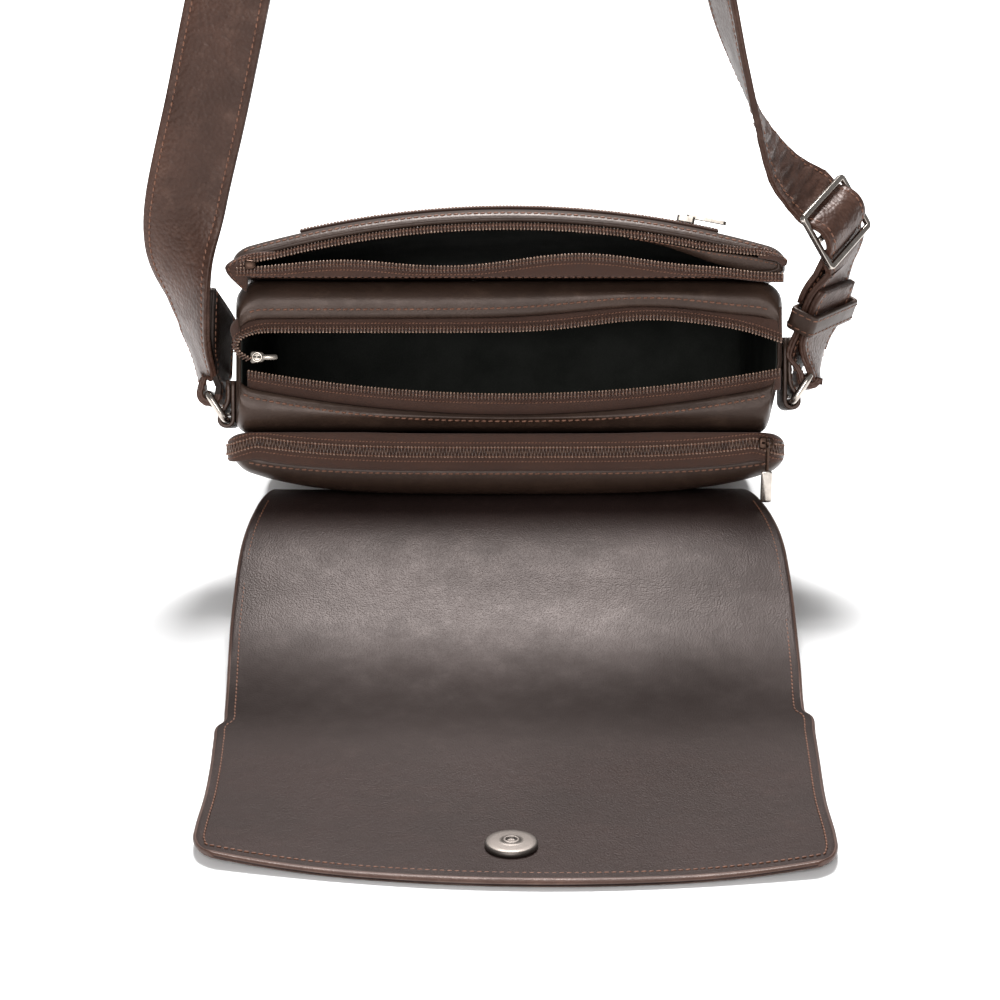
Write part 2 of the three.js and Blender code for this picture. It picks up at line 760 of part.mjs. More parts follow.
// Slide buckle: a flat frame with a middle bar
function buckle() {
  const shape = roundRect(BUCKLE.wide, BUCKLE.long, 2.5);
  const slot = (BUCKLE.long - 3 * BUCKLE.bar) / 2;
  for (const side of [-1, 1]) {
    const hole = roundRect(BUCKLE.wide - 2 * BUCKLE.bar, slot, 1);
    const shift = side * (slot + BUCKLE.bar) / 2;
    shape.holes.push(new THREE.Path(hole.getPoints(3).map((p) => p.setY(p.y + shift))));
  }
  const out = buckleWidth.clone().cross(buckleAlong);
  return placed(plate(shape, BUCKLE.thick, 0.6), buckleWidth, buckleAlong, out, buckleCentre);
}

add('strap_buckle', buckle(), COLOUR.metal, true);

// Keeper: a leather loop round both layers of the strap, below the buckle
function keeper() {
  let index = 0;
  let run = 0;
  while (run < KEEPER.up) {
    run += lowRun[index].p.distanceTo(lowRun[index + 1].p);
    index += 1;
  }
  const at = lowRun[index];
  const along = lowRun[index + 1].p.clone().sub(lowRun[index - 1].p).normalize();
  const w = at.w.clone().addScaledVector(along, -at.w.dot(along)).normalize();
  const out = outward(lowRun, index, 1);
  const layers = 2 * STRAP.thick + 0.4 + 2 * KEEPER.play;
  const wide = STRAP.width + 2 * KEEPER.play + 1;
  const shape = roundRect(wide + 2 * KEEPER.thick, layers + 2 * KEEPER.thick, 2);
  shape.holes.push(roundRect(wide, layers, 0.6));
  const centre = at.p.clone().addScaledVector(out, (STRAP.thick + 0.4) / 2);
  return placed(plate(shape, KEEPER.along, 0), w, w.clone().cross(along).negate(), along, centre);
}

add('strap_keeper', keeper(), COLOUR.leather);

// Sliders: a block with a bail on top, which a pull hangs from
function slider(long, wide, high, lift) {
  const block = plate(roundRect(long, wide, 1.5), high, 0).translate(0, 0, high / 2);
  const arch = new THREE.Shape();
  arch.moveTo(BAIL.outer, -lift - 0.5);
  arch.lineTo(BAIL.outer, 0);
  arch.absarc(0, 0, BAIL.outer, 0, Math.PI);
  arch.lineTo(-BAIL.outer, -lift - 0.5);
  arch.lineTo(-BAIL.inner, -lift - 0.5);
  arch.lineTo(-BAIL.inner, 0);
  arch.absarc(0, 0, BAIL.inner, Math.PI, 0, true);
  arch.lineTo(BAIL.inner, -lift - 0.5);
  const settings = { depth: BAIL.wide, bevelEnabled: false, curveSegments: 6 };
  const bail = new THREE.ExtrudeGeometry(arch, settings);
  bail.translate(0, 0, -BAIL.wide / 2).rotateX(Math.PI / 2).translate(0, 0, high + lift);
  return joined([block, bail]);
}

const MAIN_SLIDER = vec(-109.5, 50.8, 185.6);
const BACK_SLIDER = vec(111.5, backCoil(111.5), 190.6);
const SLIDER_HIGH = 3;
const mainSlider = slider(9, 7.6, SLIDER_HIGH, BAIL.low).translate(...MAIN_SLIDER.toArray());
addBag('main_zip_slider', mainSlider, COLOUR.metal, true);
const backSlider = slider(9, 8, SLIDER_HIGH, BAIL.tall).translate(...BACK_SLIDER.toArray());
addBag('back_zip_slider', backSlider, COLOUR.metal, true);

// Main pull: lies on its slider, its eye bar under the bail
function mainPull() {
  const shape = new THREE.Shape();
  const half = 2.6;
  shape.moveTo(-0.65, -half);
  shape.lineTo(10.5, -half);
  shape.absarc(10.5, 0, half, -Math.PI / 2, Math.PI / 2);
  shape.lineTo(-0.65, half);
  const eye = new THREE.Path();
  eye.moveTo(0.65, -1.4);
  eye.lineTo(0.65, 1.4);
  eye.lineTo(4.1, 1.4);
  eye.lineTo(4.1, -1.4);
  shape.holes.push(eye);
  return plate(shape, 1.2, 0, 6);
}

const mainHinge = MAIN_SLIDER.clone().add(vec(0, 0, SLIDER_HIGH + BAIL.low));
addBag('main_zip_pull', mainPull().translate(...mainHinge.toArray()), COLOUR.metal, true);

// Back pull: hangs straight down from the top of its bail
const BACK_PULL = { long: 27, half: 2.6, eye: 1.7, drop: 0.6, thick: 1.3, turn: 8 };

function backPull() {
  const { long, half, eye, drop, thick, turn } = BACK_PULL;
  const shape = new THREE.Shape();
  shape.moveTo(half, -drop);
  shape.absarc(0, -drop, half, 0, Math.PI);
  shape.lineTo(-half, -long + 1);
  shape.lineTo(-half + 1, -long);
  shape.lineTo(half - 1, -long);
  shape.lineTo(half, -long + 1);
  const hole = new THREE.Path();
  hole.absarc(0, -drop, eye, 0, Math.PI * 2);
  shape.holes.push(hole);
  const body = plate(shape, thick, 0, 12);
  return body.rotateX(Math.PI / 2).rotateZ(Math.PI / 2 + THREE.MathUtils.degToRad(turn));
}

const bailTop = (BAIL.inner + BAIL.outer) / 2;
const backHinge = BACK_SLIDER.clone().add(vec(0, 0, SLIDER_HIGH + BAIL.tall + bailTop));
backHinge.applyMatrix4(bagMatrix);
add('back_zip_pull', backPull().translate(...backHinge.toArray()), COLOUR.metal, true);

// Hidden sliders: one plain piece each
const frontSlider = plate(roundRect(7, 5.4, 1.2), 3, 0).translate(-112.2, 90.6, 191.4);
addBag('front_zip_slider', frontSlider, COLOUR.metal, true);

function pocketPull() {
  const block = plate(roundRect(8, 7, 1.2), 2.4, 0);
  const grip = plate(roundRect(18, 5, 1.5), 1.4, 0).translate(9, 0, 1.4);
  const x = 78;
  const slope = Math.atan((-2 * 18 * x) / 121 ** 2);
  const body = joined([block, grip]).rotateX(-Math.PI / 2).rotateZ(slope);
  return body.translate(x, frontPanel(x) + POCKET.gap + TAPE_THICK + COIL.rise + 1.6, POCKET.height);
}

addBag('pocket_zip_pull', pocketPull(), COLOUR.metal, true);

export default object;
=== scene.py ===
"""Looks of a leather crossbody bag that lies open on its back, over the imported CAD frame.

Sizes are in millimetres over the floor, as in the part's source, and become metres in the
row's frame when a mesh is made.
"""

import logging
import math
from dataclasses import dataclass, field
from enum import Enum
from typing import Callable, Optional, Sequence

import bmesh
import bpy
import numpy as np
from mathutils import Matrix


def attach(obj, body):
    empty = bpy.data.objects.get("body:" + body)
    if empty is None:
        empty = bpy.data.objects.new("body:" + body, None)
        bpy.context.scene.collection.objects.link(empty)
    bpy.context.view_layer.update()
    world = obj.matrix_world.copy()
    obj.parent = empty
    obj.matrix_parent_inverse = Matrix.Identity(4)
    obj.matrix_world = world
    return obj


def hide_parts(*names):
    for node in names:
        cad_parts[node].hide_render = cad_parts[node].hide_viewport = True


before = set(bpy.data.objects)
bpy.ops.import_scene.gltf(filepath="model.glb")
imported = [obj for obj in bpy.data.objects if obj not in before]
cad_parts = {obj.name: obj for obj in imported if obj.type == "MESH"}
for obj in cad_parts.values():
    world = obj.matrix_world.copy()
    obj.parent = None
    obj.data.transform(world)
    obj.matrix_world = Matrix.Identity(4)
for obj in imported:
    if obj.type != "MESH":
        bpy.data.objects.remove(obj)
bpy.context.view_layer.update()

LOG = logging.getLogger("crossbody_bag")
Colour = tuple[float, float, float]
Place = tuple[float, float, float]
Table = tuple[tuple[float, ...], ...]

HANG_HEIGHT = 655.0
TILT = math.radians(18)
SIN, COS = math.sin(TILT), math.cos(TILT)
DEPTH_AXIS = np.array([0.0, SIN, COS])
DOWN_AXIS = np.array([0.0, COS, -SIN])
MOUTH_DEPTH, MOUTH_HEIGHT = 56, 190
MOUTH_Y, MOUTH_Z = -16, 110
MAIN_COIL_HEIGHT, MAIN_TAPE_HEIGHT = 187.6, 185.6
HUMP_AT, HUMP_SPREAD = 60, 40


class Body(Enum):
    """CAD bodies that pieces ride on."""

    BAG = "bag"
    MAIN_PULL = "main_pull"
    BACK_PULL = "back_pull"


class Slot(Enum):
    """Material slots of the record."""

    LEATHER = "leather"
    POUCH = "pouch_leather"
    FLAP = "flap_leather"
    STRAP = "strap_leather"
    TAPE = "zip_tape"
    NICKEL = "nickel"


# Geometry helpers


def bag_to_floor(points: np.ndarray) -> np.ndarray:
    """Turns bag coordinates (across, depth, height) into the upright frame over the floor.

    Args:
        points: array of points, last axis x, depth, height in millimetres.

    Returns:
        The same points as x, y, z over the floor, in millimetres.
    """
    p = np.asarray(points, float)
    depth, height = p[..., 1] - MOUTH_DEPTH, p[..., 2] - MOUTH_HEIGHT
    y = depth * SIN - height * COS + MOUTH_Y
    z = depth * COS + height * SIN + MOUTH_Z
    return np.stack([p[..., 0], y, z], -1)


def bag_axes() -> np.ndarray:
    """Columns are the bag's across, depth and height directions over the floor."""
    return np.array([[1, 0, 0], [0, SIN, -COS], [0, COS, SIN]], float)


def unit(v: np.ndarray) -> np.ndarray:
    """Vectors scaled to length one."""
    v = np.asarray(v, float)
    return v / np.maximum(np.linalg.norm(v, axis=-1, keepdims=True), 1e-9)


def bump(x: np.ndarray, centre: float, spread: float) -> np.ndarray:
    """Smooth hump of height one."""
    return np.exp(-(((np.asarray(x, float) - centre) / spread) ** 2))


def spline(knots: np.ndarray, counts: Sequence[int], by: Optional[np.ndarray] = None) -> np.ndarray:
    """Samples a centripetal curve through knots.

    Args:
        knots: one row per knot.
        counts: samples in each stretch between two knots.
        by: rows whose distances set the curve's pace, if not the knots themselves.

    Returns:
        The samples, with the last knot at the end.
    """
    k = np.asarray(knots, float)
    pace = k if by is None else np.asarray(by, float)
    k = np.vstack([2 * k[0] - k[1], k, 2 * k[-1] - k[-2]])
    pace = np.vstack([2 * pace[0] - pace[1], pace, 2 * pace[-1] - pace[-2]])
    steps = np.maximum(np.linalg.norm(np.diff(pace, axis=0), axis=1), 1e-6) ** 0.5
    out = []
    for i, count in enumerate(counts):
        x0, x1, x2, x3 = k[i:i + 4]
        d0, d1, d2 = steps[i:i + 3]
        m1 = ((x1 - x0) / d0 - (x2 - x0) / (d0 + d1) + (x2 - x1) / d1) * d1
        m2 = ((x2 - x1) / d1 - (x3 - x1) / (d1 + d2) + (x3 - x2) / d2) * d1
        for t in np.arange(count) / count:
            curve = (2 * x1 - 2 * x2 + m1 + m2) * t**3
            out.append(x1 + m1 * t + (3 * x2 - 3 * x1 - 2 * m1 - m2) * t**2 + curve)
    out.append(k[-2])
    return np.array(out)


def lengths(path: np.ndarray) -> np.ndarray:
    """Distance along a path at each of its points."""
    return np.concatenate([[0], np.cumsum(np.linalg.norm(np.diff(path, axis=0), axis=1))])


def tangents(path: np.ndarray, closed: bool = False) -> np.ndarray:
    """Unit directions along a path, from each point's neighbours.

    Args:
        path: points of the path.
        closed: the path is a loop.

    Returns:
        One direction for each point.
    """
    if closed:
        return unit(np.roll(path, -1, 0) - np.roll(path, 1, 0))
    return unit(np.gradient(path, axis=0))


def rounded_box(wide: float, thick: float, radius: float, steps: int = 4) -> np.ndarray:
    """Closed outline of a rectangle with round corners, counter-clockwise.

    Args:
        wide: size along the first axis.
        thick: size along the second axis.
        radius: radius of the corners.
        steps: pieces of each corner.

    Returns:
        Points of the outline.
    """
    out = []
    for sx, sy, start in ((1, 1, 0), (-1, 1, 90), (-1, -1, 180), (1, -1, 270)):
        for turn in np.linspace(0, 90, steps + 1):
            a = math.radians(start + turn)
            x = sx * (wide / 2 - radius) + radius * math.cos(a)
            out.append([x, sy * (thick / 2 - radius) + radius * math.sin(a)])
    return np.array(out)


@dataclass(frozen=True)
class Stitch:
    """One stitch of a row: its length, the leather to the next, half the thread and its lean."""

    long: float = 2.05
    gap: float = 0.85
    radius: float = 0.42
    slant: float = 0.1


LIP_STITCH = Stitch()
TAPE_STITCH = Stitch(1.05, 0.45, 0.26, 0.25)
FOLD_STITCH = Stitch(1.6, 0.7, 0.28)
FLAP_STITCH = Stitch(1.8, 0.8, 0.33)
STRAP_STITCH = Stitch(2.1, 0.85, 0.4)
KEEPER_STITCH = Stitch(2.6, 1.0, 0.3)


@dataclass
class Draft:
    """Vertices, faces and face finishes of one piece while it is made, in floor millimetres."""

    name: str
    points: list[np.ndarray] = field(default_factory=list)
    faces: list[np.ndarray] = field(default_factory=list)
    marks: list[np.ndarray] = field(default_factory=list)
    maps: list[np.ndarray] = field(default_factory=list)
    count: int = 0

    def put(self, points: np.ndarray, faces: Sequence[np.ndarray], mark: int | np.ndarray,
            uv: Optional[np.ndarray] = None) -> None:
        """Adds loose geometry.

        Args:
            points: vertices, one row each.
            faces: arrays of vertex numbers that count from the first new vertex.
            mark: number of the finish of the new faces.
            uv: weave coordinates of each vertex, in millimetres.
        """
        points = np.asarray(points, float).reshape(-1, 3)
        self.points.append(points)
        self.maps.append(np.zeros((len(points), 2)) if uv is None else np.asarray(uv, float).reshape(-1, 2))
        for block in faces:
            block = np.asarray(block)
            self.faces.append(block + self.count)
            self.marks.append(np.broadcast_to(np.asarray(mark), (len(block),)))
        self.count += len(points)

    def grid(self, points: np.ndarray, rows_shut: bool = False, cols_shut: bool = False,
             mark: int | np.ndarray = 0, uv: Optional[np.ndarray] = None, caps: bool = False) -> None:
        """Adds a grid of quads.

        Args:
            points: array of rows by columns by 3.
            rows_shut: joins the last row to the first.
            cols_shut: joins the last column to the first.
            mark: finish of the faces.
            uv: weave coordinates, rows by columns by 2.
            caps: closes both ends with a face each.
        """
        rows, cols = points.shape[:2]
        index = np.arange(rows * cols).reshape(rows, cols)
        ends = [index[:1, ::-1], index[-1:]] if caps else []
        if rows_shut:
            index = np.vstack([index, index[:1]])
        if cols_shut:
            index = np.hstack([index, index[:, :1]])
        quads = np.stack([index[:-1, :-1], index[:-1, 1:], index[1:, 1:], index[1:, :-1]], -1)
        self.put(points, [quads.reshape(-1, 4), *ends], mark, uv)

    def sweep(self, path: np.ndarray, across: np.ndarray, section: np.ndarray, closed: bool = False,
              mark: int = 0, lift: Optional[Callable[[np.ndarray, np.ndarray], np.ndarray]] = None,
              square: bool = True) -> None:
        """Sweeps a closed section along a path.

        Args:
            path: centre line.
            across: direction of the section's first axis, one or one for each point.
            section: outline as (across, out) pairs.
            closed: the path is a loop.
            mark: finish of the faces.
            lift: extra height over the path's distance and the section's first axis.
            square: turns the section's first axis square to the path.
        """
        way = tangents(path, closed)
        across = np.broadcast_to(across, path.shape)
        if square:
            across = unit(across - way * np.sum(across * way, -1, keepdims=True))
        out = unit(np.cross(way, across))
        a, b = section[:, 0], np.broadcast_to(section[:, 1], (len(path), len(section)))
        if lift is not None:
            b = b + lift(lengths(path)[:, None], a[None, :])
        points = path[:, None] + across[:, None] * a[None, :, None] + out[:, None] * b[..., None]
        self.grid(points, closed, True, mark, caps=not closed)

    def copies(self, points: np.ndarray, faces: np.ndarray, axes: np.ndarray, places: np.ndarray,
               mark: int = 0) -> None:
        """Adds one small shape many times.

        Args:
            points: the shape's vertices in its own axes.
            faces: its quads.
            axes: one matrix for each copy, whose columns are its axes.
            places: one origin for each copy.
            mark: finish of the faces.
        """
        made = np.einsum("kij,pj->kpi", axes, points) + places[:, None]
        shifts = np.arange(len(places)) * len(points)
        quads = (faces[None] + shifts[:, None, None]).reshape(-1, faces.shape[1])
        self.put(made, [quads], mark)

    def stitches(self, path: np.ndarray, out: np.ndarray, mark: int, kind: Stitch = LIP_STITCH) -> None:
        """Sews a row of stitches along a path on a surface.

        Args:
            path: points of the row.
            out: the surface's outward direction at each point.
            mark: finish of the thread.
            kind: sizes of the stitch.
        """
        run = lengths(path)
        at = np.arange(kind.long / 2, run[-1] - kind.long / 2, kind.long + kind.gap)
        if len(at) == 0:
            return
        place = np.stack([np.interp(at, run, path[:, i]) for i in range(3)], -1)
        way = np.stack([np.interp(at, run, tangents(path)[:, i]) for i in range(3)], -1)
        up = unit(np.stack([np.interp(at, run, out[:, i]) for i in range(3)], -1))
        way = unit(way - up * np.sum(way * up, -1, keepdims=True))
        side = np.cross(up, way)
        way, side = unit(way + kind.slant * side), unit(side - kind.slant * way)
        shape, quads = capsule(kind.long, kind.radius, 6)
        self.copies(shape, quads, np.stack([way, side, up], -1), place, mark)

    def make(self, finishes: Sequence["Finish"], body: Body,
             nodes: Sequence[str] = ()) -> bpy.types.Object:
        """Turns the draft into an object that rides on a body.

        Args:
            finishes: finishes in the order of the face marks.
            body: CAD body to ride on.
            nodes: CAD nodes that the piece stands for.

        Returns:
            The new object.
        """
        points = np.vstack(self.points)
        points = (points - [0, 0, HANG_HEIGHT]) / 1000
        mesh = bpy.data.meshes.new(self.name)
        mesh.from_pydata(points.tolist(), [], [face for block in self.faces for face in block.tolist()])
        mesh.polygons.foreach_set("material_index", np.concatenate(self.marks).astype(np.int32))
        mesh.polygons.foreach_set("use_smooth", np.ones(len(mesh.polygons), bool))
        chart = mesh.uv_layers.new(name="weave")
        corner = np.zeros(len(mesh.loops), np.int32)
        mesh.loops.foreach_get("vertex_index", corner)
        chart.data.foreach_set("uv", np.vstack(self.maps)[corner].astype(np.float32).ravel())
        for finish in finishes:
            mesh.materials.append(finish.material())
        soft = bmesh.new()
        soft.from_mesh(mesh)
        bmesh.ops.recalc_face_normals(soft, faces=soft.faces)
        soft.to_mesh(mesh)
        soft.free()
        obj = bpy.data.objects.new(self.name, mesh)
        bpy.context.scene.collection.objects.link(obj)
        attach(obj, body.value)
        if nodes:
            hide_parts(*nodes)
        LOG.info("%s: %d faces", self.name, len(mesh.polygons))
        return obj


def capsule(long: float, radius: float, sides: int) -> tuple[np.ndarray, np.ndarray]:
    """A thread-like bar along its first axis.

    Args:
        long: its length.
        radius: half its thickness.
        sides: faces round it.

    Returns:
        Its vertices and quads.
    """
    return bar([(-0.5 * long, 0.35 * radius), (-0.4 * long, 0.85 * radius), (-0.15 * long, radius),
                (0.15 * long, radius), (0.4 * long, 0.85 * radius), (0.5 * long, 0.35 * radius)], 1, 1, sides)


def bar(profile: Sequence[tuple[float, float]], wide: float, high: float,
        sides: int) -> tuple[np.ndarray, np.ndarray]:
    """A small solid of revolution along its first axis, stretched across.

    Args:
        profile: (place, radius) pairs along the axis.
        wide: stretch along the second axis.
        high: stretch along the third axis.
        sides: faces round it.

    Returns:
        Its vertices and quads.
    """
    turn = np.arange(sides) * 2 * math.pi / sides
    rings = [np.stack([np.full(sides, x), wide * r * np.cos(turn), high * r * np.sin(turn)], -1)
             for x, r in profile]
    index = np.arange(len(profile) * sides).reshape(-1, sides)
    index = np.hstack([index, index[:, :1]])
    quads = np.stack([index[:-1, :-1], index[:-1, 1:], index[1:, 1:], index[1:, :-1]], -1).reshape(-1, 4)
    half = sides // 2
    ends = []
    for ring in (index[0, :-1], index[-1, :-1]):
        ends += [[ring[i], ring[i + 1], ring[sides - 2 - i], ring[sides - 1 - i]] for i in range(half - 1)]
    return np.vstack(rings), np.vstack([quads, np.array(ends)])


# Finishes


class Graph:
    """Small helper that wires a material's nodes."""

    def __init__(self, name: str) -> None:
        """Starts a material with one principled shader.

        Args:
            name: name of the material.
        """
        self.material = bpy.data.materials.new(name)
        self.material.use_nodes = True
        self.tree = self.material.node_tree
        self.shader = self.tree.nodes["Principled BSDF"]

    def node(self, kind: str, inputs: Optional[dict[str | int, object]] = None,
             **settings: object) -> bpy.types.Node:
        """Adds a node.

        Args:
            kind: node type without its prefix.
            inputs: socket values or sockets to link, by socket name or number.
            settings: attributes of the node.

        Returns:
            The new node.
        """
        made = self.tree.nodes.new("ShaderNode" + kind)
        for key, value in settings.items():
            setattr(made, key, value)
        for key, value in (inputs or {}).items():
            self.set(made.inputs[key], value)
        return made

    def set(self, socket: bpy.types.NodeSocket, value: object) -> None:
        """Links a socket or gives it a value.

        Args:
            socket: input socket.
            value: a value, or an output socket to link.
        """
        if isinstance(value, bpy.types.NodeSocket):
            self.tree.links.new(value, socket)
        elif isinstance(value, tuple) and len(value) == 3 and socket.type == "RGBA":
            socket.default_value = (*value, 1)
        else:
            socket.default_value = value

    def math(self, operation: str, a: object, b: object = 0.0) -> bpy.types.NodeSocket:
        """Result of one arithmetic node."""
        return self.node("Math", {0: a, 1: b}, operation=operation).outputs[0]

    def mix(self, share: object, a: object, b: object) -> bpy.types.NodeSocket:
        """Blend of two colours.

        Args:
            share: share of the second colour.
            a: first colour.
            b: second colour.

        Returns:
            The blended colour.
        """
        made = self.node("Mix", data_type="RGBA")
        for socket, value in zip((made.inputs[0], made.inputs[6], made.inputs[7]), (share, a, b)):
            self.set(socket, value)
        return made.outputs[2]

    def span(self, value: object, low: float, high: float, start: float = 0.0,
             end: float = 1.0) -> bpy.types.NodeSocket:
        """Maps a value from one range to another, held at its ends."""
        return self.node("MapRange", {0: value, 1: low, 2: high, 3: start, 4: end}).outputs[0]

    def noise(self, size: float, detail: float = 3.0, rough: float = 0.55,
              where: object = None) -> bpy.types.NodeSocket:
        """Noise whose features are about so many millimetres wide.

        Args:
            size: width of its features.
            detail: number of finer layers.
            rough: weight of the finer layers.
            where: coordinates, if not the object's own.

        Returns:
            The noise value.
        """
        if where is None:
            where = self.node("TexCoord").outputs["Object"]
        inputs = {"Scale": 1000 / size, "Detail": detail, "Roughness": rough, "Vector": where}
        return self.node("TexNoise", inputs).outputs[0]

    def cells(self, size: float) -> bpy.types.NodeSocket:
        """Distance to the middle of rounded cells about so many millimetres wide.

        Args:
            size: width of a cell.

        Returns:
            The distance value.
        """
        where = self.node("TexCoord").outputs["Object"]
        inputs = {"Vector": where, "Scale": 1000 / size, "Smoothness": 0.5}
        return self.node("TexVoronoi", inputs, feature="SMOOTH_F1").outputs["Distance"]

    def relief(self, height: object, depth: float, strength: float,
               below: object = None) -> bpy.types.NodeSocket:
        """Bumps of a given depth in millimetres, on top of other bumps.

        Args:
            height: height value.
            depth: depth of the bumps.
            strength: share of the bumps that shows.
            below: normal of the bumps below.

        Returns:
            The bent normal.
        """
        inputs = {"Height": height, "Distance": depth / 1000, "Strength": strength}
        if below is not None:
            inputs["Normal"] = below
        return self.node("Bump", inputs).outputs[0]

    def finish(self, **sockets: object) -> bpy.types.Material:
        """Sets the shader's sockets, by name with spaces as underscores.

        Args:
            sockets: values or sockets to link.

        Returns:
            The finished material.
        """
        for key, value in sockets.items():
            self.set(self.shader.inputs[key.replace("_", " ")], value)
        return self.material


class Finish:
    """A finish that makes its material once."""

    _made: dict["Finish", bpy.types.Material] = {}

    def material(self) -> bpy.types.Material:
        """The finish's material.

        Returns:
            The material, made at the first call.
        """
        if self not in Finish._made:
            Finish._made[self] = self.paint()
        return Finish._made[self]

    def paint(self) -> bpy.types.Material:
        """Builds the material.

        Returns:
            The material.
        """
        raise NotImplementedError


@dataclass(frozen=True)
class Leather(Finish):
    """Tanned leather: blotches, pebbled grain, creases and rubbed high spots.

    A fold above zero paints shade: it darkens and dulls a band of the object's Y where the flap bends down to
    the floor, about a middle and a reach to each side that are given below.
    """

    name: str
    deep: Colour
    main: Colour
    rubbed: Colour
    grain: float = 1.1
    grain_depth: float = 0.12
    crease: float = 9.0
    crease_depth: float = 0.35
    smooth: float = 0.36
    rough: float = 0.5
    specular: float = 0.5
    # Strength of the painted shade band where the flap bends down to the floor.
    fold: float = 0.0
    shade_band_at: float = -164.0
    shade_band_reach: float = 62.0

    def paint(self) -> bpy.types.Material:
        """Builds the material.

        Returns:
            The material.
        """
        g = Graph(self.name)
        blotch = g.noise(46, 4, 0.6)
        rub = g.noise(11, 5, 0.65)
        cells = g.cells(self.grain)
        pores = g.noise(0.35, 2)
        colour = g.mix(g.span(blotch, 0.35, 0.65), self.deep, self.main)
        colour = g.mix(g.span(rub, 0.52, 0.78, 0.0, 0.55), colour, self.rubbed)
        colour = g.mix(g.span(cells, 0.45, 0.9, 0.0, 0.55), colour, self.deep)
        share = 0.0
        # Painted shade: a darker band across the flap where it bends down to the floor, with a wandering
        # edge. The same share also raises the roughness there.
        if self.fold:
            place = g.node("SeparateXYZ", {0: g.node("TexCoord").outputs["Object"]}).outputs[1]
            wander = g.math("MULTIPLY", g.math("SUBTRACT", blotch, 0.5), 0.014)
            off = g.math("ABSOLUTE", g.math("SUBTRACT", g.math("ADD", place, wander), self.shade_band_at / 1000))
            share = g.node("MapRange", {0: off, 1: 0.0, 2: self.shade_band_reach / 1000, 3: self.fold, 4: 0.0},
                           interpolation_type="SMOOTHSTEP").outputs[0]
            colour = g.mix(share, colour, tuple(0.5 * c for c in self.deep))
        creases = g.relief(g.noise(self.crease, 4, 0.6), self.crease_depth, 0.55)
        pebbles = g.relief(g.math("SUBTRACT", 1.0, cells), self.grain_depth, 0.6, creases)
        skin = g.relief(pores, 0.05, 0.5, pebbles)
        shine = g.span(g.math("ADD", g.math("MULTIPLY", rub, 0.6), g.math("MULTIPLY", blotch, 0.4)),
                       0.35, 0.65, self.rough, self.smooth)
        shine = g.math("ADD", shine, g.math("MULTIPLY", share, 0.4))
        return g.finish(Base_Color=colour, Roughness=shine, Normal=skin, Specular_IOR_Level=self.specular,
                        Specular_Tint=(1.0, 0.84, 0.78))


@dataclass(frozen=True)
class Tape(Finish):
    """Woven zip tape: ribs along and across in millimetres of its weave map."""

    name: str
    dark: Colour
    light: Colour
    rib: float = 0.55

    def paint(self) -> bpy.types.Material:
        """Builds the material.

        Returns:
            The material.
        """
        g = Graph(self.name)
        place = g.node("UVMap", uv_map="weave").outputs[0]
        split = g.node("SeparateXYZ", {0: place})
        turn = 2 * math.pi / self.rib
        along = g.math("SINE", g.math("MULTIPLY", split.outputs[0], turn))
        across = g.math("SINE", g.math("MULTIPLY", split.outputs[1], turn * 0.8))
        weave = g.math("ADD", g.math("MULTIPLY", g.math("MULTIPLY", along, across), 0.5), 0.5)
        fluff = g.noise(1.6, 4)
        colour = g.mix(g.span(g.math("ADD", weave, fluff), 0.4, 1.6), self.dark, self.light)
        colour = g.mix(g.span(g.noise(30, 3), 0.4, 0.7, 0.0, 0.4), colour, self.dark)
        return g.finish(Base_Color=colour, Roughness=g.span(fluff, 0.3, 0.7, 0.62, 0.8),
                        Normal=g.relief(weave, 0.16, 0.8), Sheen_Weight=0.15, Specular_IOR_Level=0.3)


@dataclass(frozen=True)
class Nylon(Finish):
    """Thread or coil: smooth fibre with slight colour changes."""

    name: str
    dark: Colour
    light: Colour
    shine: float
    fibre: float

    def paint(self) -> bpy.types.Material:
        """Builds the material.

        Returns:
            The material.
        """
        g = Graph(self.name)
        change = g.noise(self.fibre * 6, 3)
        fibre = g.noise(self.fibre, 2)
        colour = g.mix(g.span(change, 0.35, 0.65), self.dark, self.light)
        return g.finish(Base_Color=colour, Roughness=g.span(fibre, 0.3, 0.7, self.shine, self.shine + 0.15),
                        Normal=g.relief(fibre, 0.06, 0.6))


@dataclass(frozen=True)
class Lining(Finish):
    """Plain woven lining."""

    name: str
    dark: Colour
    light: Colour

    def paint(self) -> bpy.types.Material:
        """Builds the material.

        Returns:
            The material.
        """
        g = Graph(self.name)
        weave = g.cells(0.5)
        colour = g.mix(g.span(g.noise(20, 3), 0.35, 0.65), self.dark, self.light)
        return g.finish(Base_Color=colour, Roughness=g.span(weave, 0.2, 0.8, 0.75, 0.95),
                        Normal=g.relief(weave, 0.15, 0.6), Specular_IOR_Level=0.12)


@dataclass(frozen=True)
class Nickel(Finish):
    """Plated metal with faint clouding and fine handling scratches."""

    name: str
    bright: Colour
    dull: Colour
    low: float
    high: float

    def paint(self) -> bpy.types.Material:
        """Builds the material.

        Returns:
            The material.
        """
        g = Graph(self.name)
        cloud = g.noise(6, 4, 0.6)
        place = g.node("TexCoord").outputs["Object"]
        long = g.node("Mapping", {"Vector": place, "Scale": (1, 0.06, 1)}).outputs[0]
        hair = g.noise(0.5, 3, 0.6, long)
        colour = g.mix(g.span(cloud, 0.4, 0.7), self.bright, self.dull)
        shine = g.span(cloud, 0.3, 0.7, self.low, self.high)
        return g.finish(Base_Color=colour, Metallic=1.0, Roughness=shine, Normal=g.relief(hair, 0.02, 0.3))


@dataclass(frozen=True)
class Paper(Finish):
    """Pale seamless floor with a faint tooth."""

    name: str
    light: Colour
    dark: Colour

    def paint(self) -> bpy.types.Material:
        """Builds the material.

        Returns:
            The material.
        """
        g = Graph(self.name)
        colour = g.mix(g.span(g.noise(300, 3), 0.3, 0.7), self.light, self.dark)
        return g.finish(Base_Color=colour, Roughness=0.9, Normal=g.relief(g.noise(1.2, 3), 0.05, 0.2),
                        Specular_IOR_Level=0.1)


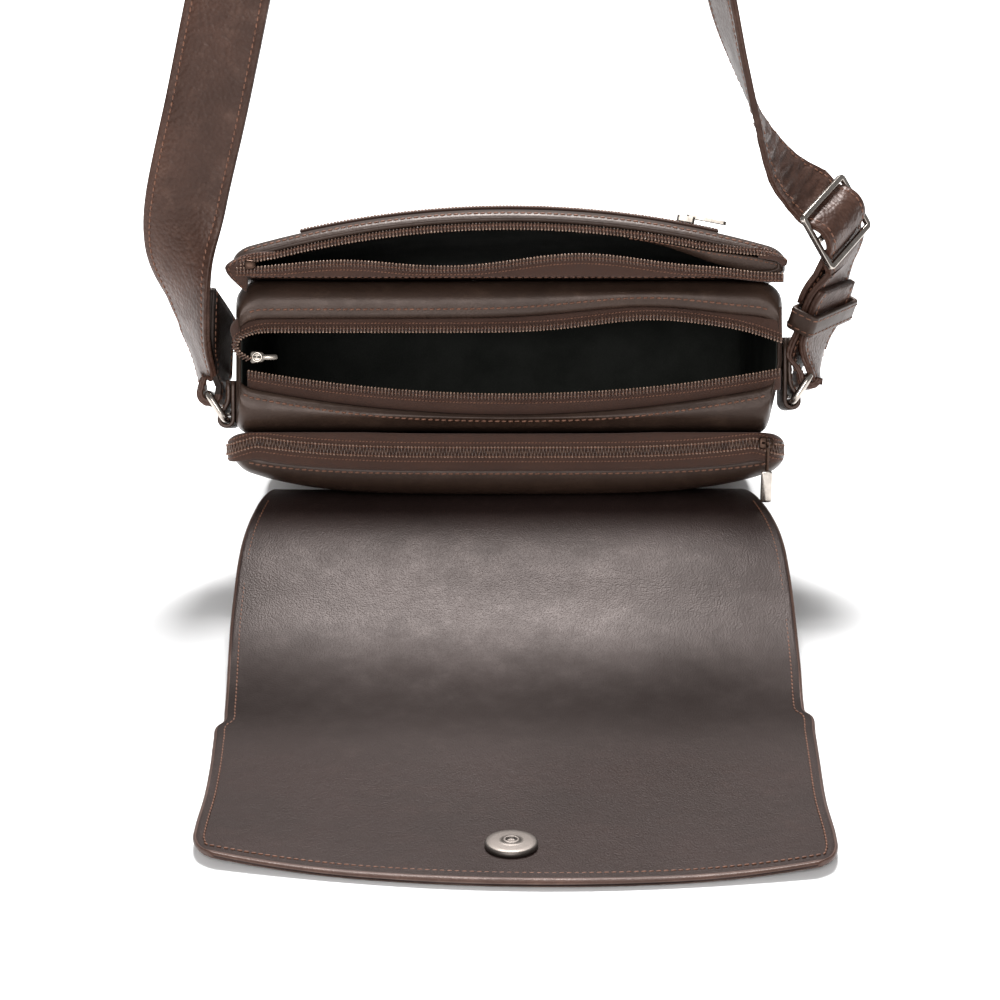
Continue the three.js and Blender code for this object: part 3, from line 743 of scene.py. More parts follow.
BAND_LEATHER = Leather("band_leather", (0.024, 0.0135, 0.0095), (0.043, 0.025, 0.0178), (0.075, 0.046, 0.033),
                       grain=0.9, grain_depth=0.07, crease=11, crease_depth=0.4, smooth=0.34, rough=0.48,
                       specular=0.36)
POUCH_LEATHER = Leather("pouch_leather", (0.0205, 0.0112, 0.0078), (0.036, 0.0205, 0.0142),
                        (0.06, 0.0365, 0.026), grain=0.9, grain_depth=0.07, crease=13, crease_depth=0.4,
                        smooth=0.34, rough=0.48, specular=0.32)
# fold paints shade into the band where the flap bends down to the floor.
FLAP_LEATHER = Leather("flap_leather", (0.019, 0.0115, 0.01), (0.028, 0.017, 0.0152), (0.044, 0.028, 0.0245),
                       grain=0.7, grain_depth=0.18, crease=7, crease_depth=0.2, smooth=0.4, rough=0.48,
                       specular=0.2, fold=0.8)
EDGE_LEATHER = Leather("edge_leather", (0.04, 0.018, 0.0125), (0.07, 0.033, 0.023), (0.12, 0.066, 0.049),
                       grain=0.7, grain_depth=0.08, crease=6, crease_depth=0.2, smooth=0.42, rough=0.55)
STRAP_LEATHER = Leather("strap_leather", (0.032, 0.0142, 0.0093), (0.066, 0.0315, 0.0217),
                        (0.11, 0.061, 0.0443), grain=1.7, grain_depth=0.4, crease=5, crease_depth=0.6,
                        smooth=0.36, rough=0.5, specular=0.33)
# Near-black finish for the strap's inner layer at the left ring: painted shade, standing for the shade inside
# the fold round the ring.
SHADED_BACKING = Leather("strap_backing_shade", (0.009, 0.0065, 0.0055), (0.016, 0.011, 0.009), (0.03, 0.02, 0.016),
                  grain=0.8, grain_depth=0.1, crease=6, crease_depth=0.3, specular=0.25)
ZIP_TAPE = Tape("zip_tape", (0.032, 0.0135, 0.0085), (0.08, 0.0365, 0.0235))
COIL = Nylon("zip_coil", (0.05, 0.026, 0.018), (0.13, 0.073, 0.05), 0.2, 0.3)
# The coil's heads are lighter than its legs: painted glints on the heads.
COIL_HEAD_GLINT = Nylon("zip_coil_head_glint", (0.17, 0.1, 0.07), (0.36, 0.24, 0.18), 0.12, 0.3)
THREAD = Nylon("brown_thread", (0.105, 0.042, 0.023), (0.21, 0.092, 0.053), 0.5, 0.2)
BLACK_LINING = Lining("black_lining", (0.03, 0.032, 0.028), (0.045, 0.047, 0.042))
GREY_LINING = Lining("grey_lining", (0.15, 0.152, 0.145), (0.2, 0.2, 0.19))
NICKEL = Nickel("nickel", (0.54, 0.49, 0.445), (0.36, 0.32, 0.285), 0.16, 0.3)
AGED = Nickel("aged_nickel", (0.29, 0.26, 0.23), (0.17, 0.15, 0.13), 0.2, 0.34)
DARK_BRONZE = Nickel("dark_bronze", (0.075, 0.046, 0.034), (0.045, 0.027, 0.02), 0.3, 0.45)
SATIN = Nickel("satin_nickel", (0.18, 0.157, 0.142), (0.15, 0.131, 0.119), 0.44, 0.54)
PALE_FLOOR = Paper("pale_floor", (0.96, 0.96, 0.96), (0.94, 0.94, 0.94))


# Compartments


@dataclass
class Compartment:
    """A hollow leather cup: rows are levels from the base, up and over the lip.

    Row columns: height, half width, near depth, far depth, near bow, far bow, hump.
    """

    name: str
    rows: Table
    corner: tuple[float, float]
    skin: Leather
    slot: Slot
    power: float = 2.0
    wall: float = 2.0
    stitch_gap: float = 3.4
    dents: float = 0.5
    seed: float = 0.0
    pinch: float = 0.0
    far_corner: Optional[tuple[float, float]] = None
    lining: Lining = BLACK_LINING
    corner_steps: int = 8
    long_steps: int = 90
    short_steps: int = 14
    level_steps: int = 6

    def outline(self) -> np.ndarray:
        """Rounded rectangle in unit coordinates, from the near left corner round to the right.

        Returns:
            Points of the outline.
        """
        out = []
        for k, (sx, sy, start) in enumerate(((-1, -1, 180), (1, -1, 270), (1, 1, 0), (-1, 1, 90))):
            cx, cy = self.corner if sy < 0 else self.far_corner or self.corner
            for turn in np.linspace(0, 90, self.corner_steps):
                a = math.radians(start + turn)
                out.append([sx * (1 - cx) + cx * math.cos(a), sy * (1 - cy) + cy * math.sin(a)])
            if k % 2 == 0:
                x, y = out[-1]
                out += [[x * (1 - 2 * i / self.long_steps), y] for i in range(1, self.long_steps)]
            else:
                x, y = out[-1]
                stop = self.corner[1] - 1 if k == 3 else 1 - (self.far_corner or self.corner)[1]
                out += [[x, y + (stop - y) * i / self.short_steps] for i in range(1, self.short_steps)]
        return np.array(out)

    def ring(self, row: np.ndarray, shape: np.ndarray) -> np.ndarray:
        """Bag points of one level.

        Args:
            row: one row of the levels.
            shape: outline in unit coordinates.

        Returns:
            The level's points.
        """
        height, half, near, far, bow_near, bow_far, hump = row
        x = shape[:, 0] * half
        bow = 1 - np.abs(shape[:, 0]) ** self.power
        low = near - bow_near * bow
        high = far + bow_far * bow + hump * bump(x, HUMP_AT, HUMP_SPREAD)
        return np.stack([x, low + (shape[:, 1] + 1) / 2 * (high - low), np.full(len(x), height)], -1)

    def inset(self, rows: np.ndarray) -> np.ndarray:
        """Levels moved inwards by the wall, square to the profile.

        Args:
            rows: rows of the outer levels.

        Returns:
            Rows of the inner levels.
        """
        step = np.vstack([rows[1] - rows[0], (rows[2:] - rows[:-2]), rows[-1] - rows[-2]])
        rise, inward = step[:, 0], (step[:, 2] - step[:, 3] - step[:, 1]) / 3
        long = np.hypot(rise, inward)
        side, up = self.wall * rise / long, -self.wall * inward / long
        out = rows.copy()
        out[:, 0] += up
        out[:, 1] -= side
        out[:, 2] += side
        out[:, 3] -= side
        return out

    def build(self, nodes: Sequence[str]) -> bpy.types.Object:
        """Builds the cup with its lining and lip stitches.

        Args:
            nodes: CAD nodes that it stands for.

        Returns:
            The object.
        """
        shape = self.outline()
        rows = spline(np.array(self.rows, float), [self.level_steps] * (len(self.rows) - 1))
        outer = np.array([self.ring(row, shape) for row in rows])
        inner = np.array([self.ring(row, shape) for row in self.inset(rows)[::-1]])
        outer, inner = self.squeeze(self.crumple(outer)), self.squeeze(inner)
        lip = (outer[-1] + inner[0]) / 2 + 0.8 * unit(outer[-1] - outer[-3])
        base = self.closing(outer[0], -1.2)
        floor = self.closing(inner[-1], 0.4)[::-1]
        levels = np.concatenate([base, outer, lip[None], inner, floor])
        draft = Draft(self.name)
        quads = len(shape)
        skin_rows = len(base) + len(outer) + 3
        marks = np.repeat((np.arange(len(levels) - 1) >= skin_rows).astype(int), quads)
        draft.grid(bag_to_floor(levels), cols_shut=True, mark=0, caps=True)
        draft.marks[-3:] = [marks, np.array([0]), np.array([1])]
        self.sew(draft, outer, shape)
        return draft.make([self.skin, self.lining, THREAD], Body.BAG, nodes)

    def crumple(self, levels: np.ndarray) -> np.ndarray:
        """Adds the slow waves of soft leather to the outer levels.

        Args:
            levels: points, levels by columns by 3.

        Returns:
            The moved points.
        """
        x, v, t = levels[..., 0], levels[..., 1], levels[..., 2]
        s = self.seed
        wave = np.sin(x / 31 + s) * np.sin(t / 23 + 1.7 * s) + 0.6 * np.sin(x / 17 - t / 29 + 2.3 * s)
        wave += 0.4 * np.sin(x / 9.5 + v / 14 + s)
        middle = levels.mean(1, keepdims=True)
        out = unit((levels - middle) * [0.2, 1, 0.0])
        calm = np.clip((188 - t) / 30, 0.15, 1)
        return levels + out * (self.dents * wave * calm)[..., None]

    def squeeze(self, levels: np.ndarray) -> np.ndarray:
        """Draws in the near right corner of the mouth.

        Args:
            levels: points, levels by columns by 3.

        Returns:
            The moved points.
        """
        x, v, t = levels[..., 0], levels[..., 1], levels[..., 2]
        share = self.pinch * np.clip((48 - v) / 26, 0, 1) * np.clip((t - 110) / 60, 0, 1)
        return np.stack([np.where(x > 0, x * (1 - share), x), v, t], -1)

    @staticmethod
    def closing(ring: np.ndarray, bulge: float) -> np.ndarray:
        """Rings that close a flat end, from its middle outwards.

        Args:
            ring: rim of the end.
            bulge: how far its middle stands up.

        Returns:
            Points, rings by columns by 3.
        """
        middle = ring.mean(0)
        out = []
        for share in (0.02, 0.3, 0.6, 0.85):
            level = middle + (ring - middle) * share
            level[:, 2] += bulge * (1 - share**2)
            out.append(level)
        return np.array(out)

    def sew(self, draft: Draft, outer: np.ndarray, shape: np.ndarray) -> None:
        """Sews a row of stitches along the lip on both long sides.

        Args:
            draft: piece to add to.
            outer: points of the outer levels.
            shape: outline in unit coordinates.
        """
        for side in (-1, 1):
            pick = np.where((shape[:, 1] * side > 0.9) & (np.abs(shape[:, 0]) < 0.992))[0]
            pick = pick[np.argsort(outer[-1, pick, 0])]
            row, above = [], []
            for column in pick:
                profile = outer[::-1, column]
                run = lengths(profile)
                row.append([np.interp(self.stitch_gap, run, profile[:, i]) for i in range(3)])
                above.append([np.interp(self.stitch_gap - 1, run, profile[:, i]) for i in range(3)])
            row, above = bag_to_floor(np.array(row)), bag_to_floor(np.array(above))
            out = unit(np.cross(tangents(row), above - row))
            out = out * np.sign(np.sum(out * (bag_axes() @ [0, side, 1.0]), -1, keepdims=True))
            draft.stitches(row + out * 0.12, out, 2)


# Zips


def main_near_coil(x: np.ndarray) -> np.ndarray:
    """Depth of the main mouth's near coil."""
    return 45 - 10.5 * (1 - (x / 115) ** 2)


def main_far_coil(x: np.ndarray) -> np.ndarray:
    """Depth of the main mouth's far coil."""
    return 62 + 5.5 * bump(x, 62, 36) - 7 * bump(x, 128, 18)


def main_near_edge(x: np.ndarray) -> np.ndarray:
    """Depth of the near tape's hidden edge."""
    return 36.5 - 12 * (1 - (x / 116.5) ** 2)


def main_far_edge(x: np.ndarray) -> np.ndarray:
    """Depth of the far tape's hidden edge."""
    return 72.3 + 4 * bump(x, HUMP_AT, HUMP_SPREAD)


def front_near_coil(x: np.ndarray) -> np.ndarray:
    """Depth of the front mouth's near coil."""
    return 88.7 + 3.5 * bump(x, -72, 30) + 6.3 * bump(x, 31, 38) - 2 * ease(x, 85, 116)


def front_near_edge(x: np.ndarray) -> np.ndarray:
    """Depth of the front mouth's near tape edge."""
    return 85.6 - 2.4 * ease(x, 85, 116)


def front_far_coil(x: np.ndarray) -> np.ndarray:
    """Depth of the front mouth's far coil."""
    return 89.6 + 17 * (1 - (x / 118) ** 2) + 3 * ease(x, 80, 116)


def front_far_edge(x: np.ndarray) -> np.ndarray:
    """Depth of the front mouth's far tape edge."""
    return 91.9 + 17 * (1 - (x / 117.5) ** 2) + 2 * ease(x, 80, 116)


def back_coil(x: np.ndarray) -> np.ndarray:
    """Depth of the back zip's coil."""
    return 14.5 - 5 * (1 - np.minimum(1, np.abs(np.asarray(x, float) / 118)) ** 4)


def tooth() -> tuple[np.ndarray, np.ndarray]:
    """The legs of one turn of a zip coil: a bar along its first axis."""
    return bar([(-2.1, 0.25), (-1.9, 0.44), (-0.6, 0.47), (0.1, 0.48), (0.5, 0.5), (0.7, 0.2)], 0.8, 1.15, 8)


def tooth_head() -> tuple[np.ndarray, np.ndarray]:
    """The rounded head of one turn of a zip coil."""
    return bar([(0.3, 0.22), (0.42, 0.5), (0.7, 0.64), (0.98, 0.52), (1.14, 0.22)], 0.84, 1.25, 8)


@dataclass
class OpenZip:
    """Half of an open zip: a tape that ends in a coil, along two lines in bag coordinates.

    Sewing columns: distance from the coil, height over the tape.
    """

    name: str
    coil: np.ndarray
    edge: np.ndarray
    pitch: float = 1.5
    thick: float = 1.0
    columns: int = 9
    coil_back: float = 0.45
    coil_rise: float = 0.3
    sewing: Table = ((1.35, 0.82), (3.7, 0.12))

    def build(self, nodes: Sequence[str]) -> bpy.types.Object:
        """Builds tape, coil and the row of thread beside it.

        Args:
            nodes: CAD nodes that it stands for.

        Returns:
            The object.
        """
        draft = Draft(self.name)
        run = lengths(self.coil)
        share = np.linspace(0, 1, self.columns)
        share = np.concatenate([share, np.linspace(1, 0, self.columns)])
        drop = np.repeat([0, self.thick], self.columns)
        points = self.edge[:, None] + (self.coil - self.edge)[:, None] * share[None, :, None]
        points[..., 2] += 0.25 * np.sin(run / 7.3)[:, None] * np.sin(share * math.pi) - drop
        wide = np.linalg.norm(self.coil - self.edge, axis=1)
        weave = np.stack([np.broadcast_to(run[:, None], points.shape[:2]), wide[:, None] * share], -1)
        draft.grid(bag_to_floor(points), cols_shut=True, mark=0, uv=weave, caps=True)
        up = np.broadcast_to([0, 0, 1.0], self.coil.shape)
        head = unit((self.coil - self.edge) * [1, 1, 0])
        coil_row(draft, self.coil - head * self.coil_back + [0, 0, self.coil_rise], up, head, self.pitch, 1)
        out = np.broadcast_to(bag_axes()[:, 2], self.coil.shape)
        for inset, high in self.sewing:
            back = np.minimum(inset / np.maximum(wide, 0.1), 0.8)[:, None]
            row = self.coil + (self.edge - self.coil) * back + [0, 0, high]
            draft.stitches(bag_to_floor(row), out, 2, TAPE_STITCH)
        return draft.make([ZIP_TAPE, COIL, THREAD, COIL_HEAD_GLINT], Body.BAG, nodes)


def ease(x: np.ndarray, low: float, high: float) -> np.ndarray:
    """Smooth step from 0 at low to 1 at high."""
    t = np.clip((np.asarray(x, float) - low) / (high - low), 0, 1)
    return t * t * (3 - 2 * t)


def main_near_zip() -> OpenZip:
    """Near half of the main zip, whose right end climbs over the lip.

    Returns:
        The zip half.
    """
    x = np.linspace(-114, 118, 190)
    over = 3.4 * ease(x, 108, 115)
    coil = np.stack([x, main_near_coil(x), MAIN_COIL_HEIGHT + over], -1)
    edge = np.stack([x, main_near_edge(x), MAIN_TAPE_HEIGHT + over * 0.8], -1)
    return OpenZip("main_zip_near_half", coil, edge)


def main_far_zip() -> OpenZip:
    """Far half of the main zip, which turns round the left end towards the slider.

    Returns:
        The zip half.
    """
    x = np.linspace(118.5, -104, 180)
    over = 3.4 * ease(x, 108, 115)
    coil = np.stack([x, main_far_coil(x), MAIN_COIL_HEIGHT + over], -1)
    edge = np.stack([x, main_far_edge(x), MAIN_TAPE_HEIGHT + over * 0.8], -1)
    turn = np.radians(np.linspace(90, 236, 40))[1:]
    middle = np.array([-104, 55.6])
    arc = np.stack([14 * np.cos(turn), 6.4 * np.sin(turn)], -1)
    grow = 2.6 - 1.45 * ease(np.degrees(turn), 90, 170)
    climb = 3.6 * ease(np.degrees(turn), 95, 150) - 1.6 * ease(np.degrees(turn), 190, 236)
    bend = np.column_stack([middle + arc, MAIN_COIL_HEIGHT + climb])
    rim = np.column_stack([middle + arc * grow[:, None], MAIN_TAPE_HEIGHT + climb])
    return OpenZip("main_zip_far_half", np.vstack([coil, bend]), np.vstack([edge, rim]))


def front_near_zip() -> OpenZip:
    """Near half of the front zip.

    Returns:
        The zip half.
    """
    x = np.linspace(-118.5, 119, 190)
    coil = np.stack([x, front_near_coil(x), np.full(len(x), 191.8)], -1)
    return OpenZip("front_zip_near_half", coil, np.stack([x, front_near_edge(x), np.full(len(x), 191.2)], -1))


def front_far_zip() -> OpenZip:
    """Far half of the front zip, raised over the pouch's lip at both ends.

    Returns:
        The zip half.
    """
    x = np.linspace(-117, 116, 190)
    over = 2.2 * ease(np.abs(x), 98, 110)
    coil = np.stack([x, front_far_coil(x) + 0.8 * ease(np.abs(x), 100, 116), 189.6 + over], -1)
    edge = np.stack([x, front_far_edge(x) + 2.4 * ease(np.abs(x), 98, 112), 189.2 + over], -1)
    return OpenZip("front_zip_far_half", coil, edge)


@dataclass
class TapeEnd:
    """A folded end of zip tape, between an outer and an inner line in bag coordinates."""

    name: str
    outer: Table | np.ndarray
    inner: Table | np.ndarray
    thick: float = 1.8
    swell: float = 1.2
    skin: Finish = ZIP_TAPE

    def build(self) -> bpy.types.Object:
        """Builds the fold.

        Returns:
            The object.
        """
        count = [6] * (len(self.outer) - 1)
        outer, inner = spline(np.array(self.outer), count), spline(np.array(self.inner), count)
        share = np.linspace(0, 1, 9)
        top = outer[:, None] + (inner - outer)[:, None] * share[None, :, None]
        along = np.sin(np.linspace(0.3, 2.8, len(outer)))
        top[..., 2] += self.swell * np.sin(share * math.pi) * along[:, None]
        low = top[:, ::-1] - [0, 0, self.thick]
        weave = np.stack([np.broadcast_to(lengths(outer)[:, None], top.shape[:2]), top[..., 1]], -1)
        draft = Draft(self.name)
        draft.grid(bag_to_floor(np.concatenate([top, low], 1)), cols_shut=True, caps=True,
                   uv=np.concatenate([weave, weave[:, ::-1]], 1))
        up = np.broadcast_to(bag_axes()[:, 2], outer.shape)
        edge = outer + (inner - outer) * 0.18 + [0, 0, 0.45 * self.swell]
        draft.stitches(bag_to_floor(edge), up, 1, FOLD_STITCH)
        return draft.make([self.skin, THREAD], Body.BAG)


FRONT_LEFT_FOLD = TapeEnd(
    "front_zip_left_fold",
    ((-112, 95, 191.2), (-118.5, 93.6, 191.2), (-123.2, 90, 190.6), (-122.4, 87, 190.2),
     (-118.6, 82.8, 189.2), (-114.8, 79.4, 188.6)),
    ((-110, 91.2, 191.6), (-112, 90.6, 191.6), (-113.4, 89, 191.4), (-113.6, 86.6, 190.8),
     (-113.4, 83.4, 189.6), (-114.2, 79.2, 188.8)))
FRONT_RIGHT_FOLD = TapeEnd(
    "front_zip_right_fold",
    ((108, 97.4, 191.4), (113, 96.6, 191.8), (117.4, 95.2, 191.8), (120.6, 92.6, 191.4),
     (120.2, 90.6, 191.2)),
    ((108, 93.6, 191.6), (112, 93, 192), (115, 92.4, 192), (117.6, 91, 191.6), (118.4, 89.8, 191.2)))


def front_facing() -> TapeEnd:
    """Leather facing behind the far coil, which shows where the front mouth narrows on the right.

    Returns:
        The facing.
    """
    x = np.linspace(52, 117.5, 8)
    far = front_far_coil(x) - 0.9
    outer = np.stack([x, far, np.full(8, 189.2)], -1)
    inner = np.stack([x, far - 0.3 - 6.7 * ease(x, 56, 110), np.full(8, 187.2)], -1)
    return TapeEnd("front_mouth_facing", outer, inner, 1.4, 0.5, BAND_LEATHER)


def coil_row(draft: Draft, line: np.ndarray, up: np.ndarray, head: np.ndarray, pitch: float, mark: int,
             start: float = 0.0) -> None:
    """Sets coil turns along a line in bag coordinates.

    Args:
        draft: piece to add to.
        line: points of the coil's middle.
        up: outward direction at each point.
        head: direction in which the turns' heads point.
        pitch: distance between two turns.
        mark: finish of the coil, two before the lighter finish of its heads, which paints their glints.
        start: place of the first turn.
    """
    run = lengths(line)
    at = np.arange(start + pitch / 2, run[-1], pitch)
    place = np.stack([np.interp(at, run, line[:, i]) for i in range(3)], -1)
    top = unit(np.stack([np.interp(at, run, up[:, i]) for i in range(3)], -1))
    heads = np.stack([np.interp(at, run, head[:, i]) for i in range(3)], -1)
    heads = unit(heads - top * np.sum(heads * top, -1, keepdims=True))
    axes = bag_axes() @ np.stack([heads, np.cross(top, heads), top], -1)
    draft.copies(*tooth(), axes, bag_to_floor(place), mark)
    # The heads get the lighter finish, which paints their glints.
    draft.copies(*tooth_head(), axes, bag_to_floor(place), mark + 2)


@dataclass
class ClosedZip:
    """A shut zip: two tapes and two coils that meet, along a path in bag coordinates.

    Sewing columns: distance from the path, height over the tape.
    """

    name: str
    path: np.ndarray
    up: np.ndarray
    near: np.ndarray
    far: np.ndarray
    across: Place
    pitch: float = 1.5
    thick: float = 1.0
    coil_out: float = 1.4
    coil_rise: float = 0.3
    sewing: Table = ((1.9, 0.84), (4.1, 0.14))
    margin: float = 0.7

    def build(self, nodes: Sequence[str]) -> bpy.types.Object:
        """Builds tape and coils.

        Args:
            nodes: CAD nodes that it stands for.

        Returns:
            The object.
        """
        draft = Draft(self.name)
        across = np.array(self.across)
        share = np.array([-1, -0.8, -0.55, -0.3, -0.18, 0, 0.18, 0.3, 0.55, 0.8, 1])
        rise = np.array([0, 0.1, 0.18, 0.1, 0, 0, 0, 0.1, 0.18, 0.1, 0])
        share = np.concatenate([share, share[::-1]])
        rise = np.concatenate([rise, np.full(len(rise), -self.thick)])
        reach = np.where(share < 0, -self.near[:, None] * -share, self.far[:, None] * share)
        points = self.path[:, None] + across * reach[..., None] + self.up[:, None] * rise[None, :, None]
        weave = np.stack([np.broadcast_to(lengths(self.path)[:, None], reach.shape), reach], -1)
        draft.grid(bag_to_floor(points), cols_shut=True, mark=0, uv=weave, caps=True)
        for side, start in ((1, 0.0), (-1, self.pitch / 2)):
            head = np.broadcast_to(across * side, self.path.shape)
            line = self.path + head * self.coil_out + self.up * self.coil_rise
            coil_row(draft, line, self.up, head, self.pitch, 1, start)
        out = (bag_axes() @ self.up.T).T
        for side, edge in ((-1, self.near), (1, self.far)):
            for inset, high in self.sewing:
                inset = np.minimum(inset, edge - self.margin)
                row = self.path + across * side * inset[:, None] + self.up * high
                draft.stitches(bag_to_floor(row), out, 2, TAPE_STITCH)
        return draft.make([ZIP_TAPE, COIL, THREAD, COIL_HEAD_GLINT], Body.BAG, nodes)


def back_zip() -> ClosedZip:
    """The back pouch's zip, turned down over both ends.

    Returns:
        The zip.
    """
    end = np.array([[110, 189.4], [115.7, 189.3], [120, 187.8], [122.4, 184.2], [123, 178], [123, 168]])
    left = (end * [-1, 1])[::-1]
    end = end - [3.4, 0]
    middle = np.stack([np.linspace(-100, 97, 21), np.full(21, 189.4)], -1)
    knots = np.vstack([left, middle, end])
    flat = spline(knots, [6] * (len(knots) - 1))
    coil = back_coil(flat[:, 0]) + 1.2 * np.abs(flat[:, 0] / 118) ** 3
    coil -= 5.2 * ease(np.abs(flat[:, 0] + 1.7), 106, 121.5)
    path = np.stack([flat[:, 0], coil, flat[:, 1]], -1)
    way = tangents(flat)
    up = np.stack([-way[:, 1], np.zeros(len(way)), way[:, 0]], -1)
    turned = np.clip((np.abs(flat[:, 0] + 1.7) - 109) / 13, 0, 1)
    far = 1.8 + (np.minimum(coil + 8.1, 18.2) - coil - 1.8) * np.sqrt(1 - turned**2)
    past = np.clip((np.abs(flat[:, 0] + 1.7) - 96) / 27, 0, 1)
    near = 2.6 + 5.6 * np.sqrt(1 - past**2)
    return ClosedZip("back_zip_cloth", path, up, near, far, (0, 1, 0))


def front_panel(x: np.ndarray) -> np.ndarray:
    """Depth of the front panel at the pocket's height."""
    return 98 + 18 * (1 - (np.asarray(x, float) / 121) ** 2)


def pocket_zip() -> ClosedZip:
    """The front panel's pocket zip.

    Returns:
        The zip.
    """
    x = np.linspace(-92, 92, 120)
    path = np.stack([x, front_panel(x) + 1.4, np.full(len(x), 168.0)], -1)
    way = tangents(path)
    up = np.stack([-way[:, 1], way[:, 0], np.zeros(len(x))], -1)
    reach = np.full(len(x), 7.0)
    return ClosedZip("pocket_zip_cloth", path, up, reach, reach, (0, 0, 1))


# Flap


@dataclass
class Flap:
    """The flap thrown open over the floor.

    Line columns: y, z, half width, shift across, skew; from the seam to the front edge.
    """

    line: Table = (
        (39.6, 21.6, 100, 0, 0), (11, 33.4, 105, 0, 0), (-8, 39.4, 107, 0.3, 0), (-24, 41.6, 109.4, 0.6, 0),
        (-40, 40.8, 112.2, 1.1, 0), (-54, 38.4, 114.4, 1.4, 0), (-66, 34.8, 115.8, 1.5, 0),
        (-80, 29.2, 116.6, 1.5, 0), (-95, 22.4, 117, 1.6, 0.5), (-110, 16.2, 117, 1.6, 1),
        (-125, 11.2, 116.6, 1.8, 2), (-140, 7.3, 116, 2, 3),
        (-152, 4.4, 115.4, 2, 3.5), (-163, 2.5, 114.9, 2, 4.2), (-172, 1.8, 114.8, 2.2, 5),
        (-177, 1.6, 117.2, 2.2, 5), (-190, 1.3, 116.8, 2, 3.5), (-215, 1.3, 115.8, 1.9, 1),
        (-255, 1.3, 114.6, 1.4, -2), (-290, 1.3, 114.8, 1.2, -3.6), (-304, 1.3, 114, 1, -4),
        (-311, 1.3, 111.5, 1, -4), (-315, 1.3, 106, 1, -4))
    thick: float = 2.6
    bow: float = 17.0
    bow_from: float = -200.0
    front: float = -315.0
    half: float = 115.0
    lift: float = 3.0
    stitch: float = 4.2
    stitch_from: float = -28.0
    stitch_to: float = -313.0
    panel_margin: float = 4.0
    roll_margin: float = 2.4
    tips: tuple[float, ...] = (0.92, 0.7, 0.25)
    row_steps: int = 7
    columns: int = 90
    front_steps: int = 120

    def middle(self, rows: np.ndarray, across: np.ndarray) -> np.ndarray:
        """Points of the middle surface.

        Args:
            rows: dense rows of the line.
            across: places across, in millimetres from the row's middle, rows by columns.

        Returns:
            Points, rows by columns by 3.
        """
        y, z, _, shift, skew = (rows[:, i, None] for i in range(5))
        share = np.maximum(0, (self.bow_from - y) / (self.bow_from - self.front))
        side = across / self.half
        rim = np.maximum(0, np.abs(side) - 0.45) ** 2 * 3.3
        back = y + self.bow * share * side**2 + skew * side
        up = z + self.lift * share**2 * rim
        return np.stack([across + shift, back + 0 * across, up], -1)

    def build(self) -> bpy.types.Object:
        """Builds the flap with its rolled edge and stitches.

        Returns:
            The object.
        """
        rows = spline(np.array(self.line), [self.row_steps] * (len(self.line) - 1))
        radius = self.thick / 2
        turn = np.linspace(0, math.pi / 2, 6)
        flat = np.linspace(-1, 1, self.columns)
        top = []
        for half in rows[:, 2]:
            inner = flat * (half - self.panel_margin)
            roll = half - self.roll_margin
            rim = half - radius + radius * np.sin(turn)
            top.append(np.concatenate([-rim[::-1], [-roll], inner, [roll], rim]))
        across = np.array(top)
        tall = np.concatenate([np.cos(turn)[::-1], np.ones(len(flat) + 2), np.cos(turn)]) * radius
        middle = self.middle(rows, across)
        slope = np.stack([np.zeros(len(rows)), np.gradient(rows[:, 1]), -np.gradient(rows[:, 0])], -1)
        normal = unit(slope)[:, None]
        nip = np.ones(len(rows))
        nip[-len(self.tips):] = self.tips
        tall = tall[None, :, None] * nip[:, None, None]
        wrinkle = self.wrinkles(middle)[..., None] * (tall > 0.99 * radius)
        upper = middle + normal * (tall + wrinkle)
        under = middle - normal * tall
        section = np.concatenate([upper, under[:, -2:0:-1]], 1)
        draft = Draft("flap_leather_panel")
        draft.grid(section, cols_shut=True, mark=0, caps=True)
        cols, quads = section.shape[1], section.shape[0] - 1
        column = np.tile(np.arange(cols), quads)
        row = np.repeat(np.arange(quads), cols)
        top_skin = (column >= 5) & (column < upper.shape[1] - 6) & (row < quads - 5)
        draft.marks[-3] = np.where(top_skin, 0, 1)
        self.sew(draft, rows, normal[:, 0])
        return draft.make([FLAP_LEATHER, EDGE_LEATHER, THREAD], Body.BAG, ["flap"])

    @staticmethod
    def wrinkles(points: np.ndarray) -> np.ndarray:
        """Slow waves of the inner leather, in millimetres.

        Args:
            points: points of the middle surface.

        Returns:
            Height of the waves.
        """
        x, y = points[..., 0], points[..., 1]
        wave = 0.22 * np.sin(x / 37 + y / 61) + 0.16 * np.sin(y / 19 + 0.6 * np.sin(x / 43))
        return wave + 0.07 * np.sin(y / 6.3 + x / 23) * bump(y, -105, 50)

    def sew(self, draft: Draft, rows: np.ndarray, normal: np.ndarray) -> None:
        """Sews the row of stitches that runs round the open edge.

        Args:
            draft: piece to add to.
            rows: dense rows of the line.
            normal: upward direction at each row.
        """
        start = int(np.argmax(rows[:, 0] < self.stitch_from))
        stop = int(np.argmax(rows[:, 0] < self.stitch_to + self.stitch))
        rows, normal = rows[start:stop], normal[start:stop]
        paths = []
        for side in (-1, 1):
            across = side * (rows[:, 2] - self.stitch)[:, None]
            line = self.middle(rows, across)[:, 0] + normal * (self.thick / 2 + 0.1)
            paths.append(line)
        end = rows[-1:]
        width = np.linspace(-1, 1, self.front_steps)[None] * (end[:, 2:3] - self.stitch)
        front = self.middle(end, width)[0] + normal[-1] * (self.thick / 2 + 0.1)
        whole = np.vstack([paths[0], front[1:-1], paths[1][::-1]])
        out = np.vstack([normal, np.tile(normal[-1], (self.front_steps - 2, 1)), normal[::-1]])
        draft.stitches(whole, out, 2, FLAP_STITCH)


# Strap and its hardware


